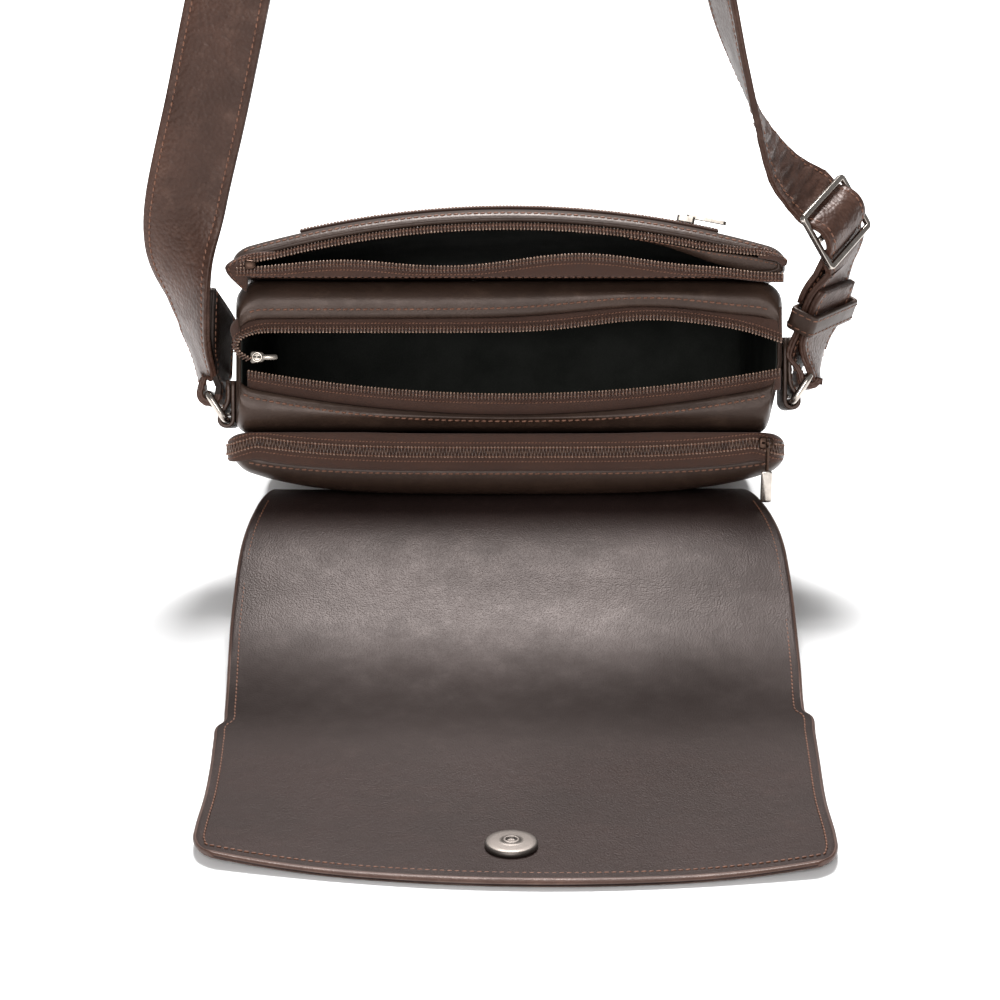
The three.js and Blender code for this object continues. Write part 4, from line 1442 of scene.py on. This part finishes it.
@dataclass
class Run:
    """A stretch of a leather band: middle points and width directions."""

    places: np.ndarray
    widths: np.ndarray

    def join(self, *others: "Run") -> "Run":
        """This stretch followed by others."""
        runs = (self, *others)
        return Run(np.vstack([r.places for r in runs]), np.vstack([r.widths for r in runs]))

    def part(self, start: Optional[int] = None, stop: Optional[int] = None) -> "Run":
        """Some of its samples."""
        return Run(self.places[start:stop], self.widths[start:stop])

    def turned(self) -> "Run":
        """The stretch run backwards."""
        return Run(self.places[::-1], self.widths[::-1])

    def outward(self, side: float) -> np.ndarray:
        """Normals that point to the given side of the bag."""
        n = unit(np.cross(tangents(self.places), self.widths))
        return np.where((n[:, :1] * side) < 0, -n, n)


def smooth_run(knots: Run, step: float) -> Run:
    """Samples a smooth band through its knots, about one each step.

    Args:
        knots: the band's knots.
        step: distance between two samples.

    Returns:
        The samples.
    """
    gaps = np.linalg.norm(np.diff(knots.places, axis=0), axis=1)
    counts = np.maximum(1, np.round(gaps / step)).astype(int)
    return Run(spline(knots.places, counts), unit(spline(knots.widths, counts)))


def width_of(turn: np.ndarray, dip: np.ndarray) -> np.ndarray:
    """Width directions from a turn about the vertical and a dip, in degrees."""
    a, b = np.radians(turn), np.radians(dip)
    return np.stack([np.sin(a) * np.cos(b), np.cos(a) * np.cos(b), -np.sin(b)], -1)


def run_of(table: Sequence[Sequence[float]]) -> Run:
    """A stretch from rows of x, y, z, turn, dip."""
    rows = np.array(table, float)
    return Run(rows[:, :3], width_of(rows[:, 3], rows[:, 4]))


@dataclass
class Strap:
    """The shoulder strap: from its fold at the left ring, over the top, to its tail on the right.

    Rise, fall and low columns: x, y, z, turn and dip of the width. Threading columns: place along the
    buckle, share of one layer to its outer side.
    """

    width: float = 36.0
    thick: float = 3.0
    fold: float = 4.1
    left_back: float = 57.0
    back_lean: Place = (0.15, 0.78, -0.6)
    tail: float = 47.0
    wire: float = 3.2
    inside: float = 38.6
    bars: float = 13.2
    ring_height: float = 162.0
    ring_depth: tuple[float, float] = (24.0, 32.0)
    ring_out: float = 124.25
    left_rise: Table = (
        (-138.4, 2, 108, -22, 9), (-140.6, 0, 125, -34, 4), (-143.6, 0, 148, -60, 0),
        (-139.7, 0, 171, -80, 0), (-129, 0, 214, -82, 0), (-119, 0, 257, -80, 0), (-98, 0, 340, -62, 0),
        (-71, 0, 440, -38, 0), (-44, 0, 540, -14, 0), (-26, 0, 610, -2, 0), (-20.5, 0, 634, 0, 0),
        (-15.5, 0, 647, 0, 0), (-8.5, 0, 654, 0, 0))
    right_fall: Table = (
        (8.5, 0, 654, 0, 0), (15.5, 0, 647, 0, 0), (20.5, 0, 634, 0, 0), (25, 0, 610, -3, 0),
        (38, 0, 540, -6, 0), (56, -2, 440, -10, 0), (73, -4, 340, -14, 2), (89.3, -6, 257.6, -13, 3),
        (97.4, -6, 230, -5, 2), (106.2, -5, 207, 5, 3), (111.8, -4, 195.5, 14.5, 1),
        (118.6, -2.6, 184.2, 22.5, -8))
    right_low: Table = ((140.2, 6, 130, 35, -6), (135, 8.6, 113, 28, 10))
    threading: Table = (
        (18, -1.5), (14.8, -1.25), (11.8, -1), (8.9, -0.5), (6, 0.5), (3.1, 1), (0, 1.14), (-3.1, 1),
        (-6, 0.5), (-8.9, -0.5), (-11.8, -1), (-14.8, -1.15), (-18, -1.9))
    buckle_at: Place = (141.7, 0.0, 161.0)
    buckle_turn: tuple[float, float] = (31.0, -16.0)
    buckle_size: tuple[float, float, float, float] = (42.4, 27.6, 2.5, 2.4)
    keeper_up: float = 30.0
    keeper_along: float = 10.0
    keeper_wall: float = 2.0
    stitch: float = 3.4
    end_size: tuple[float, float] = (34.0, 2.6)
    tab_size: tuple[float, float] = (30.0, 1.8)
    run: Run = field(init=False)
    low: Run = field(init=False)
    back_panel_rows: int = field(init=False)
    bunch: float = field(init=False)
    buckle_width: np.ndarray = field(init=False)
    buckle_along: np.ndarray = field(init=False)
    buckle_out: np.ndarray = field(init=False)

    def bars_of(self, side: int) -> tuple[np.ndarray, np.ndarray, np.ndarray]:
        """Inner bar, outer bar and reach of a ring, in bag coordinates.

        Args:
            side: -1 on the left, 1 on the right.

        Returns:
            Middle of the inner bar, middle of the outer bar, and direction between them.
        """
        inner = np.array([side * self.ring_out, self.ring_depth[(side + 1) // 2], self.ring_height])
        reach = unit(np.array([side * 0.55, 0.835, 0]))
        return inner, inner + reach * self.bars, reach

    def layer(self, run: Run, side: float, sign: float, long: float, start: float, bulge: float = 0.0) -> Run:
        """Copy of a stretch, moved off it by a gap that swells and settles to one layer.

        Args:
            run: stretch to copy.
            side: side of the bag that its normals point to.
            sign: 1 outwards, -1 inwards.
            long: length to keep.
            start: gap at its start.
            bulge: extra gap of its swell.

        Returns:
            The moved copy.
        """
        gone = lengths(run.places)
        keep = gone < long
        settle = ease(gone, 1, 10) if bulge == 0 else ease(gone, 5, 22)
        gap = start + (self.thick + 0.4 - start) * settle + bulge * bump(gone, 11, 8)
        places = run.places + run.outward(side) * (sign * gap)[:, None]
        return Run(places[keep], run.widths[keep])

    def fold_round(self, start: np.ndarray, end: np.ndarray, across: np.ndarray) -> Run:
        """Half turn round a ring's bar, on its lower side.

        Args:
            start: where the turn starts.
            end: where it ends.
            across: direction of the bar.

        Returns:
            The turn.
        """
        centre = (start + end) / 2
        arm = start - centre
        turns = np.radians(np.linspace(0, 180, 20)[1:-1])
        best = None
        for way in (1, -1):
            a = way * turns[:, None]
            line = centre + arm * np.cos(a) + np.cross(across, arm) * np.sin(a)
            if best is None or line[:, 2].min() < best[:, 2].min():
                best = line
        return Run(best, np.tile(across, (len(turns), 1)))

    def back_panel(self, rise: Run) -> Run:
        """Inner layer at the left ring, which flares away from the strap.

        Args:
            rise: the strap's stretch above the left ring.

        Returns:
            The layer.
        """
        back = self.layer(rise, -1, -1, self.left_back, 2 * self.fold)
        lean = ease(np.arange(len(back.places)) / len(back.places), 0, 0.45)[:, None]
        near = back.places - back.widths * self.width / 2 - lean * [1.3, 0, 0]
        flared = unit(DOWN_AXIS * (1 - lean) + np.array(self.back_lean) * lean)
        return Run(near + flared * self.width / 2, flared)

    def seat_buckle(self) -> Run:
        """Sets the buckle's directions, and threads the strap through it.

        Returns:
            The threaded stretch.
        """
        self.buckle_width = width_of(*np.array(self.buckle_turn))
        along = np.array([-0.51, 0.01, 0.86])
        self.buckle_along = unit(along - self.buckle_width * (along @ self.buckle_width))
        out = np.cross(self.buckle_along, self.buckle_width)
        self.buckle_out = out if out[0] > 0 else -out
        weave = self.thick / 2 + self.buckle_size[3] / 2 + 0.8
        rows = np.array(self.threading)
        centre = np.array(self.buckle_at)
        path = centre + np.outer(rows[:, 0], self.buckle_along)
        path = path + np.outer(rows[:, 1] * weave, self.buckle_out)
        return Run(path, np.tile(self.buckle_width, (len(path), 1)))

    def lay(self) -> None:
        """Works out the strap's line and the places of its hardware."""
        left, right = bag_to_floor(self.bars_of(-1)[1]), bag_to_floor(self.bars_of(1)[1])
        start = left + [-self.fold, 0, 0]
        stub = Run(np.array([start, start + DEPTH_AXIS * 12 - [0.8, 0, 0]]),
                   np.array([DOWN_AXIS, unit(DOWN_AXIS - [0.24, 0, 0])]))
        knots = stub.join(run_of(self.left_rise))
        rise = smooth_run(knots.part(0, 8), 3.0)
        back = self.back_panel(rise)
        self.back_panel_rows = len(back.places)
        threaded = self.seat_buckle()

        begin = right + [0.4 - self.fold, 0, 0]
        second = begin + DEPTH_AXIS * 9 + [0.6, 0, 0]
        low = Run(np.array([begin, second]), np.array([DOWN_AXIS, unit(DOWN_AXIS + [0.32, 0, 0])]))
        low = low.join(run_of(self.right_low).turned(), threaded.part(-1))
        self.low = smooth_run(low, 3.0)
        tail = self.layer(self.low, 1, 1, self.tail, 2 * self.fold, 1.0)

        apex = Run(np.array([[0, 0, HANG_HEIGHT + self.thick / 2]]), np.array([[0, 1.0, 0]]))
        over = smooth_run(knots.part(7).join(apex, run_of(self.right_fall), threaded.part(0, 1)), 2.0)
        dense = smooth_run(threaded, 1.2)
        self.run = back.turned().join(
            self.fold_round(back.places[0], rise.places[0], DOWN_AXIS), rise.part(0, -1), over.part(0, -1),
            dense.part(0, -1), self.low.turned(),
            self.fold_round(self.low.places[0], tail.places[0], DOWN_AXIS), tail)

    def section(self, width: float, thick: float) -> np.ndarray:
        """Outline of the sewn strap: two plies, round edges and sunk stitch channels.

        Args:
            width: full width.
            thick: full thickness.

        Returns:
            Points of the outline.
        """
        w, t = width / 2, thick / 2
        edge = [(w - 0.9, -t), (w - 0.35, 0.12 - t), (w - 0.05, 0.5 - t), (w, -0.5), (w - 0.22, -0.08),
                (w - 0.22, 0.08), (w, 0.5), (w - 0.05, t - 0.5), (w - 0.35, t - 0.12), (w - 0.9, t)]
        face = [(w - 2.6, t), (w - self.stitch, t - 0.22), (w - 4.2, t), (w * 0.5, t + 0.1), (0, t + 0.14)]
        top = face + [(-a, b) for a, b in face[-2::-1]]
        left = [(-a, b) for a, b in edge[::-1]]
        return np.array(edge + top + left + [(-a, -b) for a, b in top])

    def creases(self, run: np.ndarray, across: np.ndarray) -> np.ndarray:
        """Cross folds where the strap bunches above the buckle, and slow waves elsewhere.

        Args:
            run: distance along the strap.
            across: place across it.

        Returns:
            Height of the folds.
        """
        place = self.bunch - run
        folds = 0.8 * np.sin(place / 1.3 + across / 5) + 0.5 * np.sin(place / 0.9 - across / 7)
        bunch = bump(place, 18, 30) * folds
        return bunch * (1 - (across / 18) ** 4) + 0.12 * np.sin(run / 9 + across / 8)

    def build(self) -> bpy.types.Object:
        """Builds the strap with both rows of stitches on both faces.

        Returns:
            The object.
        """
        self.lay()
        draft = Draft("shoulder_strap")
        path, across = self.run.places, self.run.widths
        step = lengths(path)
        near = np.linalg.norm(path - (np.array(self.buckle_at) + self.buckle_along * 18), axis=1)
        self.bunch = float(step[int(np.argmin(near))])
        section = self.section(self.width, self.thick)
        way = tangents(path)
        flush = unit(across - way * np.sum(across * way, -1, keepdims=True))
        twist = ease(step, self.bunch - 75, self.bunch - 45)
        twist = twist * (1 - ease(step, self.bunch - 2, self.bunch + 5))
        loose = np.where(np.arange(len(path)) < self.back_panel_rows, 1, twist)[:, None]
        across = unit(flush + (across - flush) * loose)
        draft.sweep(path, across, section, lift=self.creases, square=False)
        strips = np.repeat(np.arange(len(path) - 1), len(section))
        # The back panel's rows get the near-black backing, which paints the shade inside the fold at the left
        # ring.
        draft.marks[-3:] = [np.where(strips < self.back_panel_rows, 2, 0), np.array([2]), np.array([0])]
        out = unit(np.cross(way, across))
        for a in (-1, 1):
            for b in (-1, 1):
                place = a * (self.width / 2 - self.stitch)
                lift = self.creases(step, np.full(len(step), place)) + b * (self.thick / 2 - 0.12)
                row = path + across * place + out * lift[:, None]
                draft.stitches(row, out * b, 1, STRAP_STITCH)
        return draft.make([STRAP_LEATHER, THREAD, SHADED_BACKING], Body.BAG, ["strap"])

    def build_end(self) -> bpy.types.Object:
        """Builds the sewn inner end between keeper and buckle.

        Returns:
            The object.
        """
        gone = lengths(self.low.places)
        past = gone - self.keeper_up - self.keeper_along / 2 - 2
        keep = (past > 0) & (np.arange(len(gone)) < len(gone) - 2)
        path = (self.low.places - self.low.outward(1) * (self.thick + 0.5 + 0.05 * past)[:, None])[keep]
        across = self.low.widths[keep]
        tip = path[-1] + unit(path[-1] - path[-3]) * np.linspace(2, 12, 5)[:, None]
        path, across = np.vstack([path, tip]), np.vstack([across, np.tile(across[-1], (5, 1))])
        draft = Draft("strap_sewn_end")
        draft.sweep(path, across, self.section(*self.end_size))
        way = tangents(path)
        out = np.cross(way, unit(across - way * np.sum(across * way, -1, keepdims=True)))
        place = self.end_size[0] / 2 - self.stitch
        for a in (-place, place):
            for b in (-1, 1):
                draft.stitches(path + across * a + out * b * 1.2, out * b, 1, STRAP_STITCH)
        return draft.make([STRAP_LEATHER, THREAD], Body.BAG, ["strap_end"])

    def build_keeper(self) -> bpy.types.Object:
        """Builds the keeper loop.

        Returns:
            The object.
        """
        gone = lengths(self.low.places)
        index = int(np.argmax(gone >= self.keeper_up))
        at, way = self.low.places[index], tangents(self.low.places)[index]
        across = unit(self.low.widths[index] - way * (self.low.widths[index] @ way))
        out = self.low.outward(1)[index]
        layers, wide = 2 * self.thick + 3.4 + self.keeper_wall, self.width + 4 + self.keeper_wall
        loop = rounded_box(wide, layers, 2.2, 6)
        centre = at + out * (self.thick + 0.4) / 2
        path = centre + loop[:, :1] * across + loop[:, 1:] * out
        draft = Draft("strap_keeper_loop")
        draft.sweep(path, way, rounded_box(self.keeper_along, self.keeper_wall, 0.7, 3), closed=True)
        side = tangents(path, True)
        face = np.cross(side, way)
        face *= np.sign(np.sum(face * (path - centre), -1, keepdims=True))
        for a in (-3.2, 3.2):
            draft.stitches(path + way * a + face * 1.0, face, 1, KEEPER_STITCH)
        return draft.make([BAND_LEATHER, THREAD], Body.BAG, ["strap_keeper"])

    def build_tab(self, side: int, name: str, node: str, long: float = 17.0) -> bpy.types.Object:
        """Builds the leather tab that holds a ring.

        Args:
            side: -1 on the left, 1 on the right.
            name: piece name.
            node: CAD node that it stands for.
            long: how far its two layers reach past the ring's bar.

        Returns:
            The object.
        """
        inner = self.bars_of(side)[0]
        turn = np.radians(np.linspace(180, 360, 13))
        bend = zip(3 * np.cos(turn), 3 * np.sin(turn))
        line = np.array([(-3, long), (-3, 9), *bend, (2.7, 2.2), (0.5, 5.2), (-0.8, 8.5), (-0.8, long)])
        line = spline(line, [3] * (len(line) - 1))
        path = inner + np.stack([side * line[:, 0], line[:, 1], np.zeros(len(line))], -1)
        draft = Draft(name)
        floor = bag_to_floor(path)
        draft.sweep(floor, DOWN_AXIS, rounded_box(*self.tab_size, 0.6, 3))
        out = np.broadcast_to([side, 0, 0.0], floor.shape)
        rise = floor[-10:] + [side * 0.95, 0, 0]
        for a in (-12.4, 12.4):
            draft.stitches(rise + DOWN_AXIS * a, out[-10:], 1)
        return draft.make([BAND_LEATHER, THREAD], Body.BAG, [node])

    def build_ring(self, side: int, name: str, node: str) -> bpy.types.Object:
        """Builds a wire ring.

        Args:
            side: -1 on the left, 1 on the right.
            name: piece name.
            node: CAD node that it stands for.

        Returns:
            The object.
        """
        inner, outer, reach = self.bars_of(side)
        loop = rounded_box(self.inside + self.wire, self.bars, 3.2, 8)
        centre = (inner + outer) / 2
        path = bag_to_floor(centre + loop[:, :1] * np.array([0, 0, -1.0]) + loop[:, 1:] * reach)
        normal = bag_axes() @ np.cross([0, 0, -1.0], reach)
        draft = Draft(name)
        draft.sweep(path, normal, rounded_box(self.wire, self.wire, self.wire / 2 - 0.01, 4), closed=True)
        return draft.make([NICKEL], Body.BAG, [node])

    def build_buckle(self) -> bpy.types.Object:
        """Builds the slide buckle with its middle bar.

        Returns:
            The object.
        """
        wide, long, wire, thick = self.buckle_size
        loop = rounded_box(wide - wire, long - wire, 1.6, 6)
        centre = np.array(self.buckle_at)
        path = centre + loop[:, :1] * self.buckle_width + loop[:, 1:] * self.buckle_along
        draft = Draft("slide_buckle")
        draft.sweep(path, self.buckle_out, rounded_box(thick, wire, 0.55, 3), closed=True)
        reach = np.linspace(-1, 1, 9)[:, None] * (wide / 2 - wire) * self.buckle_width
        draft.sweep(centre + reach, self.buckle_out, rounded_box(thick, wire, 1.0, 4))
        return draft.make([NICKEL], Body.BAG, ["strap_buckle"])


# Snaps and small metal


@dataclass
class Snap:
    """A magnetic snap disc with a raised ring round its middle."""

    name: str
    node: str
    centre: np.ndarray
    axis: np.ndarray
    radius: float = 9.5
    high: float = 3.0

    def build(self) -> bpy.types.Object:
        """Builds the disc.

        Returns:
            The object.
        """
        r, h = self.radius, self.high
        profile = np.array([
            (0.02, 0), (r - 0.4, 0), (r, 0.3), (r, h - 1.5), (r - 0.25, h - 1.1), (r - 0.8, h - 0.85),
            (r - 2.4, h - 0.75), (4.6, h - 0.68), (3.5, h - 0.62), (3.1, h - 0.2), (2.7, h), (2.2, h),
            (1.9, h - 0.15), (1.7, h - 0.7), (1.4, h - 0.85), (0.7, h - 0.8), (0.02, h - 0.75)])
        side = unit(np.cross(self.axis, [1.0, 0.2, 0.1]))
        other = np.cross(self.axis, side)
        turn = np.linspace(0, 2 * math.pi, 64, endpoint=False)
        rim = np.cos(turn)[:, None] * side + np.sin(turn)[:, None] * other
        points = self.centre + profile[:, None, :1] * rim[None] + profile[:, None, 1:] * self.axis
        draft = Draft(self.name)
        draft.grid(points, cols_shut=True, caps=True)
        return draft.make([SATIN], Body.BAG, [self.node])


def slab(draft: Draft, outline: np.ndarray, centre: np.ndarray, axes: np.ndarray,
         levels: Sequence[tuple[float, float]], mark: int = 0) -> None:
    """Adds a plate with softened rims.

    Args:
        draft: piece to add to.
        outline: closed outline in the plate's plane.
        centre: its middle over the floor.
        axes: matrix whose columns are the plate's two directions and its normal.
        levels: (height, scale) pairs from the bottom face to the top one.
        mark: finish of the faces.
    """
    middle = outline.mean(0)
    rings = []
    for height, scale in levels:
        flat = middle + (outline - middle) * scale
        rings.append(centre + np.column_stack([flat, np.full(len(flat), height)]) @ axes.T)
    draft.grid(np.array(rings), cols_shut=True, mark=mark, caps=True)


def hoop(centre: np.ndarray, first: np.ndarray, second: np.ndarray, radius: float,
         turns: Sequence[float]) -> np.ndarray:
    """Points of a round path in the plane of two directions, at turns in degrees."""
    a = np.radians(np.asarray(turns, float))[:, None]
    return centre + radius * (np.cos(a) * first + np.sin(a) * second)


@dataclass
class Slider:
    """A zip slider: two wings on a neck, with a wire bail on top."""

    name: str
    node: str
    centre: Place
    finish: Nickel
    long: float = 6.4
    wide: float = 5.0
    bail: bool = True

    def build(self) -> bpy.types.Object:
        """Builds the slider.

        Returns:
            The object.
        """
        axes = bag_axes()
        at = bag_to_floor(np.array(self.centre))
        taper = rounded_box(self.long, self.wide, 1.5, 5)
        taper[:, 1] *= 1 - 0.14 * taper[:, 0] / (self.long / 2)
        draft = Draft(self.name)
        slab(draft, taper, at, axes, [(0, 0.86), (0.25, 1), (0.8, 1), (1.05, 0.88)])
        slab(draft, taper * [0.5, 0.3], at, axes, [(0.9, 1), (2.1, 1)])
        slab(draft, taper, at, axes, [(1.9, 0.88), (2.15, 1), (2.7, 1), (2.95, 0.84)])
        if self.bail:
            path = hoop(at + axes[:, 2] * 2.7, axes[:, 0], axes[:, 2], 1.7, np.linspace(-8, 188, 17))
            draft.sweep(path, axes[:, 1], rounded_box(1.1, 0.8, 0.36, 3))
        return draft.make([self.finish], Body.BAG, [self.node])


PULL_RIM = ((-0.5, 0.9), (-0.3, 1), (0.3, 1), (0.5, 0.9))
PLATE_RIM = ((-0.65, 0.92), (-0.4, 1), (0.4, 1), (0.65, 0.92))


@dataclass
class MainPull:
    """The main zip's small pull, which lies along the mouth."""

    pivot: Place = (-109.5, 50.8, 189.6)
    long: float = 9.0
    half: float = 1.2

    def build(self) -> bpy.types.Object:
        """Builds eye and bar.

        Returns:
            The object.
        """
        axes = bag_axes()
        at = bag_to_floor(np.array(self.pivot))
        draft = Draft("main_zip_pull_bar")
        eye = hoop(at, axes[:, 0], axes[:, 1], 1.9, np.arange(0, 360, 15))
        draft.sweep(eye, axes[:, 2], rounded_box(1.0, 0.9, 0.3, 3), closed=True)
        bar_shape = rounded_box(self.long - 1.6, 2 * self.half, 1.0, 5)
        slab(draft, bar_shape, at + axes[:, 0] * (1.6 + (self.long - 1.6) / 2), axes, PULL_RIM)
        return draft.make([AGED], Body.MAIN_PULL, ["main_zip_pull"])


@dataclass
class BackPull:
    """The back zip's pull, which hangs over the pouch: a loop, a neck and a flat bar."""

    pivot: Place = (111.5, -37.7, 72.35)
    long: float = 27.5
    neck: float = 13.0
    half: float = 2.4

    def build(self) -> bpy.types.Object:
        """Builds loop, neck and bar.

        Returns:
            The object.
        """
        at = np.array(self.pivot)
        down = unit(np.array([0.0, 0.06, -1.0]))
        out = unit(np.array([0.0, -1.0, -0.06]))
        draft = Draft("back_zip_pull_bar")
        loop = hoop(at, -down, out, 1.7, np.arange(0, 360, 15))
        draft.sweep(loop, np.array([1.0, 0, 0]), rounded_box(1.2, 0.8, 0.3, 3), closed=True, mark=1)
        axes = np.column_stack([[1.0, 0, 0], -down, out])
        neck = rounded_box(1.5, self.neck - 1, 0.6, 3)
        slab(draft, neck, at + down * (1.2 + (self.neck - 1) / 2), axes, PULL_RIM, 1)
        plate = rounded_box(2 * self.half, self.long - self.neck, 1.1, 5)
        slab(draft, plate, at + down * (self.neck + self.long) / 2, axes, PLATE_RIM)
        return draft.make([NICKEL, DARK_BRONZE], Body.BACK_PULL, ["back_zip_pull"])


@dataclass
class PlainMetal:
    """CAD pieces whose shape is right, which only get a finish."""

    nodes: tuple[str, ...] = ("pocket_zip_pull",)

    def dress(self) -> None:
        """Gives each piece the plated finish."""
        for name in self.nodes:
            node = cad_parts[name]
            node.data.materials.clear()
            node.data.materials.append(AGED.material())
            LOG.info("%s: dressed", name)


# Stage


@dataclass(frozen=True)
class SoftBox:
    """A square soft box that points at a place, in metres and watts."""

    name: str
    at: Place
    to: Place
    size: float
    power: float

    def build(self) -> None:
        """Hangs the light."""
        data = bpy.data.lights.new(self.name, "AREA")
        data.size, data.energy = self.size, self.power
        light = bpy.data.objects.new(self.name, data)
        light.location = self.at
        x, y, z = np.array(self.at) - np.array(self.to)
        light.rotation_euler = (math.atan2(math.hypot(x, y), z), 0, math.atan2(x, -y))
        bpy.context.scene.collection.objects.link(light)


@dataclass
class Studio:
    """Floor, soft lights and the camera."""

    camera_at: Place = (-0.004, -1.178, -0.216)
    pitch: float = 19.0
    lens: float = 100.0
    floor_z: float = -HANG_HEIGHT / 1000 - 0.0006
    floor_reach: tuple[float, float, float] = (6, -4, 9)
    surround: float = 0.27
    boxes: tuple[SoftBox, ...] = (
        SoftBox("overhead", (0.0, 1.36, 2.2), (0.0, 0.0, -0.6), 1.0, 205),
        SoftBox("front", (-0.25, -2.3, 0.38), (0, -0.1, -0.5), 1.1, 38))

    def build(self) -> None:
        """Builds the whole stage."""
        self.floor()
        self.lights()
        self.camera()

    def floor(self) -> None:
        """Lays a pale floor that fills the view."""
        side, near, far = self.floor_reach
        corners = [(x, y, self.floor_z) for x, y in ((-side, near), (side, near), (side, far), (-side, far))]
        mesh = bpy.data.meshes.new("floor")
        mesh.from_pydata(corners, [], [(0, 1, 2, 3)])
        mesh.materials.append(PALE_FLOOR.material())
        floor = bpy.data.objects.new("floor", mesh)
        bpy.context.scene.collection.objects.link(floor)

    def lights(self) -> None:
        """Sets a dim white surround, a soft box above and behind, and a weak one in front."""
        scene = bpy.context.scene
        scene.view_settings.view_transform = "Standard"
        world = bpy.data.worlds.new("surround")
        scene.world = world
        world.use_nodes = True
        background = world.node_tree.nodes["Background"]
        background.inputs[0].default_value = (1, 1, 1, 1)
        background.inputs[1].default_value = self.surround
        for box in self.boxes:
            box.build()

    def camera(self) -> None:
        """Sets the camera at the photograph's viewpoint."""
        data = bpy.data.cameras.new("camera")
        data.lens, data.sensor_width = self.lens, 36
        camera = bpy.data.objects.new("camera", data)
        camera.location = self.camera_at
        camera.rotation_euler = (math.radians(90 - self.pitch), 0, 0)
        bpy.context.scene.collection.objects.link(camera)
        bpy.context.scene.camera = camera


MAIN = Compartment("main_body_leather", (
    (0, 104, 30, 72, 0, 0, 0), (2.5, 113, 23, 79.5, 0, 0, 0), (9, 118, 19.2, 83.6, 0, 0, 0),
    (60, 119.5, 18.4, 84.6, 0, 0, 0), (130, 120, 18.3, 84.8, 0, 0, 0), (174, 120, 18.3, 84.8, 0, 0, 0),
    (183, 119, 19.8, 83.4, 0, 0, 0), (187.5, 117.8, 23, 80.5, 0.5, 0, 0), (190, 117, 28, 76.5, 4, 0, 2),
    (189.4, 116.5, 37.5, 68, 12, 0.3, 5)), (0.05, 0.16), BAND_LEATHER, Slot.LEATHER, seed=0.4, pinch=0.05,
    far_corner=(0.09, 0.3))
FRONT = Compartment("front_pouch_leather", (
    (4, 106, 87.5, 93, 0, 2, 0), (6.5, 114, 85.8, 95.5, 0, 4, 0), (14, 118.5, 85.1, 97, 0, 8, 0),
    (60, 120, 85.1, 97.5, 0, 14, 0), (130, 121, 85.1, 98, 0, 17.5, 0), (176, 121, 85.1, 98, 0, 18, 0),
    (184, 120.2, 85.4, 97, 0, 18, 0), (188, 119, 86.2, 95.5, 0, 17.6, 0), (189.6, 117.5, 87.3, 94, 0, 17, 0)),
    (0.06, 0.7), POUCH_LEATHER, Slot.POUCH, dents=0.15, seed=1.9, lining=GREY_LINING)
BACK = Compartment("back_pouch_leather", (
    (5, 106, 8, 15.5, 0, 0, 0), (7.5, 114, 5.5, 17.4, 1, 0, 0), (15, 118.5, 4, 18, 3, 0, 0),
    (60, 120, 3.2, 18, 8, 0, 0), (130, 120.5, 3, 18, 11, 0, 0), (172, 121, 3, 18, 12, 0, 0),
    (180, 120.5, 3.2, 17.8, 11.5, 0, 0), (185.5, 119, 4, 17.2, 9, 0, 0), (187.8, 116.5, 6.2, 16, 6, 0, 0),
    (187.6, 115, 8, 14.5, 4.5, 0, 0)), (0.06, 0.7), POUCH_LEATHER, Slot.POUCH, power=4, dents=0.12, seed=3.1)

SNAPS = (
    Snap("flap_snap_disc", "flap_snap", np.array([0, -288, 2.9]), np.array([0, 0, 1.0])),
    Snap("front_snap_disc", "front_snap", bag_to_floor(np.array([0, 114.95, 105])), DEPTH_AXIS))
SLIDERS = (
    Slider("main_zip_slider_metal", "main_zip_slider", (-109.5, 50.8, 186.4), AGED),
    Slider("back_zip_slider_metal", "back_zip_slider", (111.5, 13.5, 190.2), DARK_BRONZE),
    Slider("front_zip_slider_metal", "front_zip_slider", (-112.2, 90.6, 190.6), DARK_BRONZE, 5.0, 4.0,
           bail=False))
TAB_LENGTHS = {-1: 17.0, 1: 28.0}


def main() -> None:
    """Builds every sub-assembly in order."""
    logging.basicConfig(level=logging.INFO, format="%(name)s %(message)s")
    Studio().build()
    MAIN.build(["main_body"])
    FRONT.build(["front_pouch"])
    BACK.build(["back_pouch"])
    main_near_zip().build(["main_zip_near"])
    main_far_zip().build(["main_zip_far"])
    front_near_zip().build(["front_zip_near"])
    front_far_zip().build(["front_zip_far"])
    FRONT_LEFT_FOLD.build()
    FRONT_RIGHT_FOLD.build()
    front_facing().build()
    back_zip().build(["back_zip"])
    pocket_zip().build(["pocket_zip"])
    Flap().build()
    strap = Strap()
    strap.build()
    strap.build_end()
    strap.build_keeper()
    strap.build_buckle()
    for side, word in ((-1, "left"), (1, "right")):
        strap.build_tab(side, f"{word}_tab_leather", f"{word}_tab", TAB_LENGTHS[side])
        strap.build_ring(side, f"{word}_ring_wire", f"{word}_ring")
    for piece in (*SNAPS, *SLIDERS):
        piece.build()
    MainPull().build()
    BackPull().build()
    PlainMetal().dress()
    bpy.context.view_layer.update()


if __name__ == "__main__":
    main()
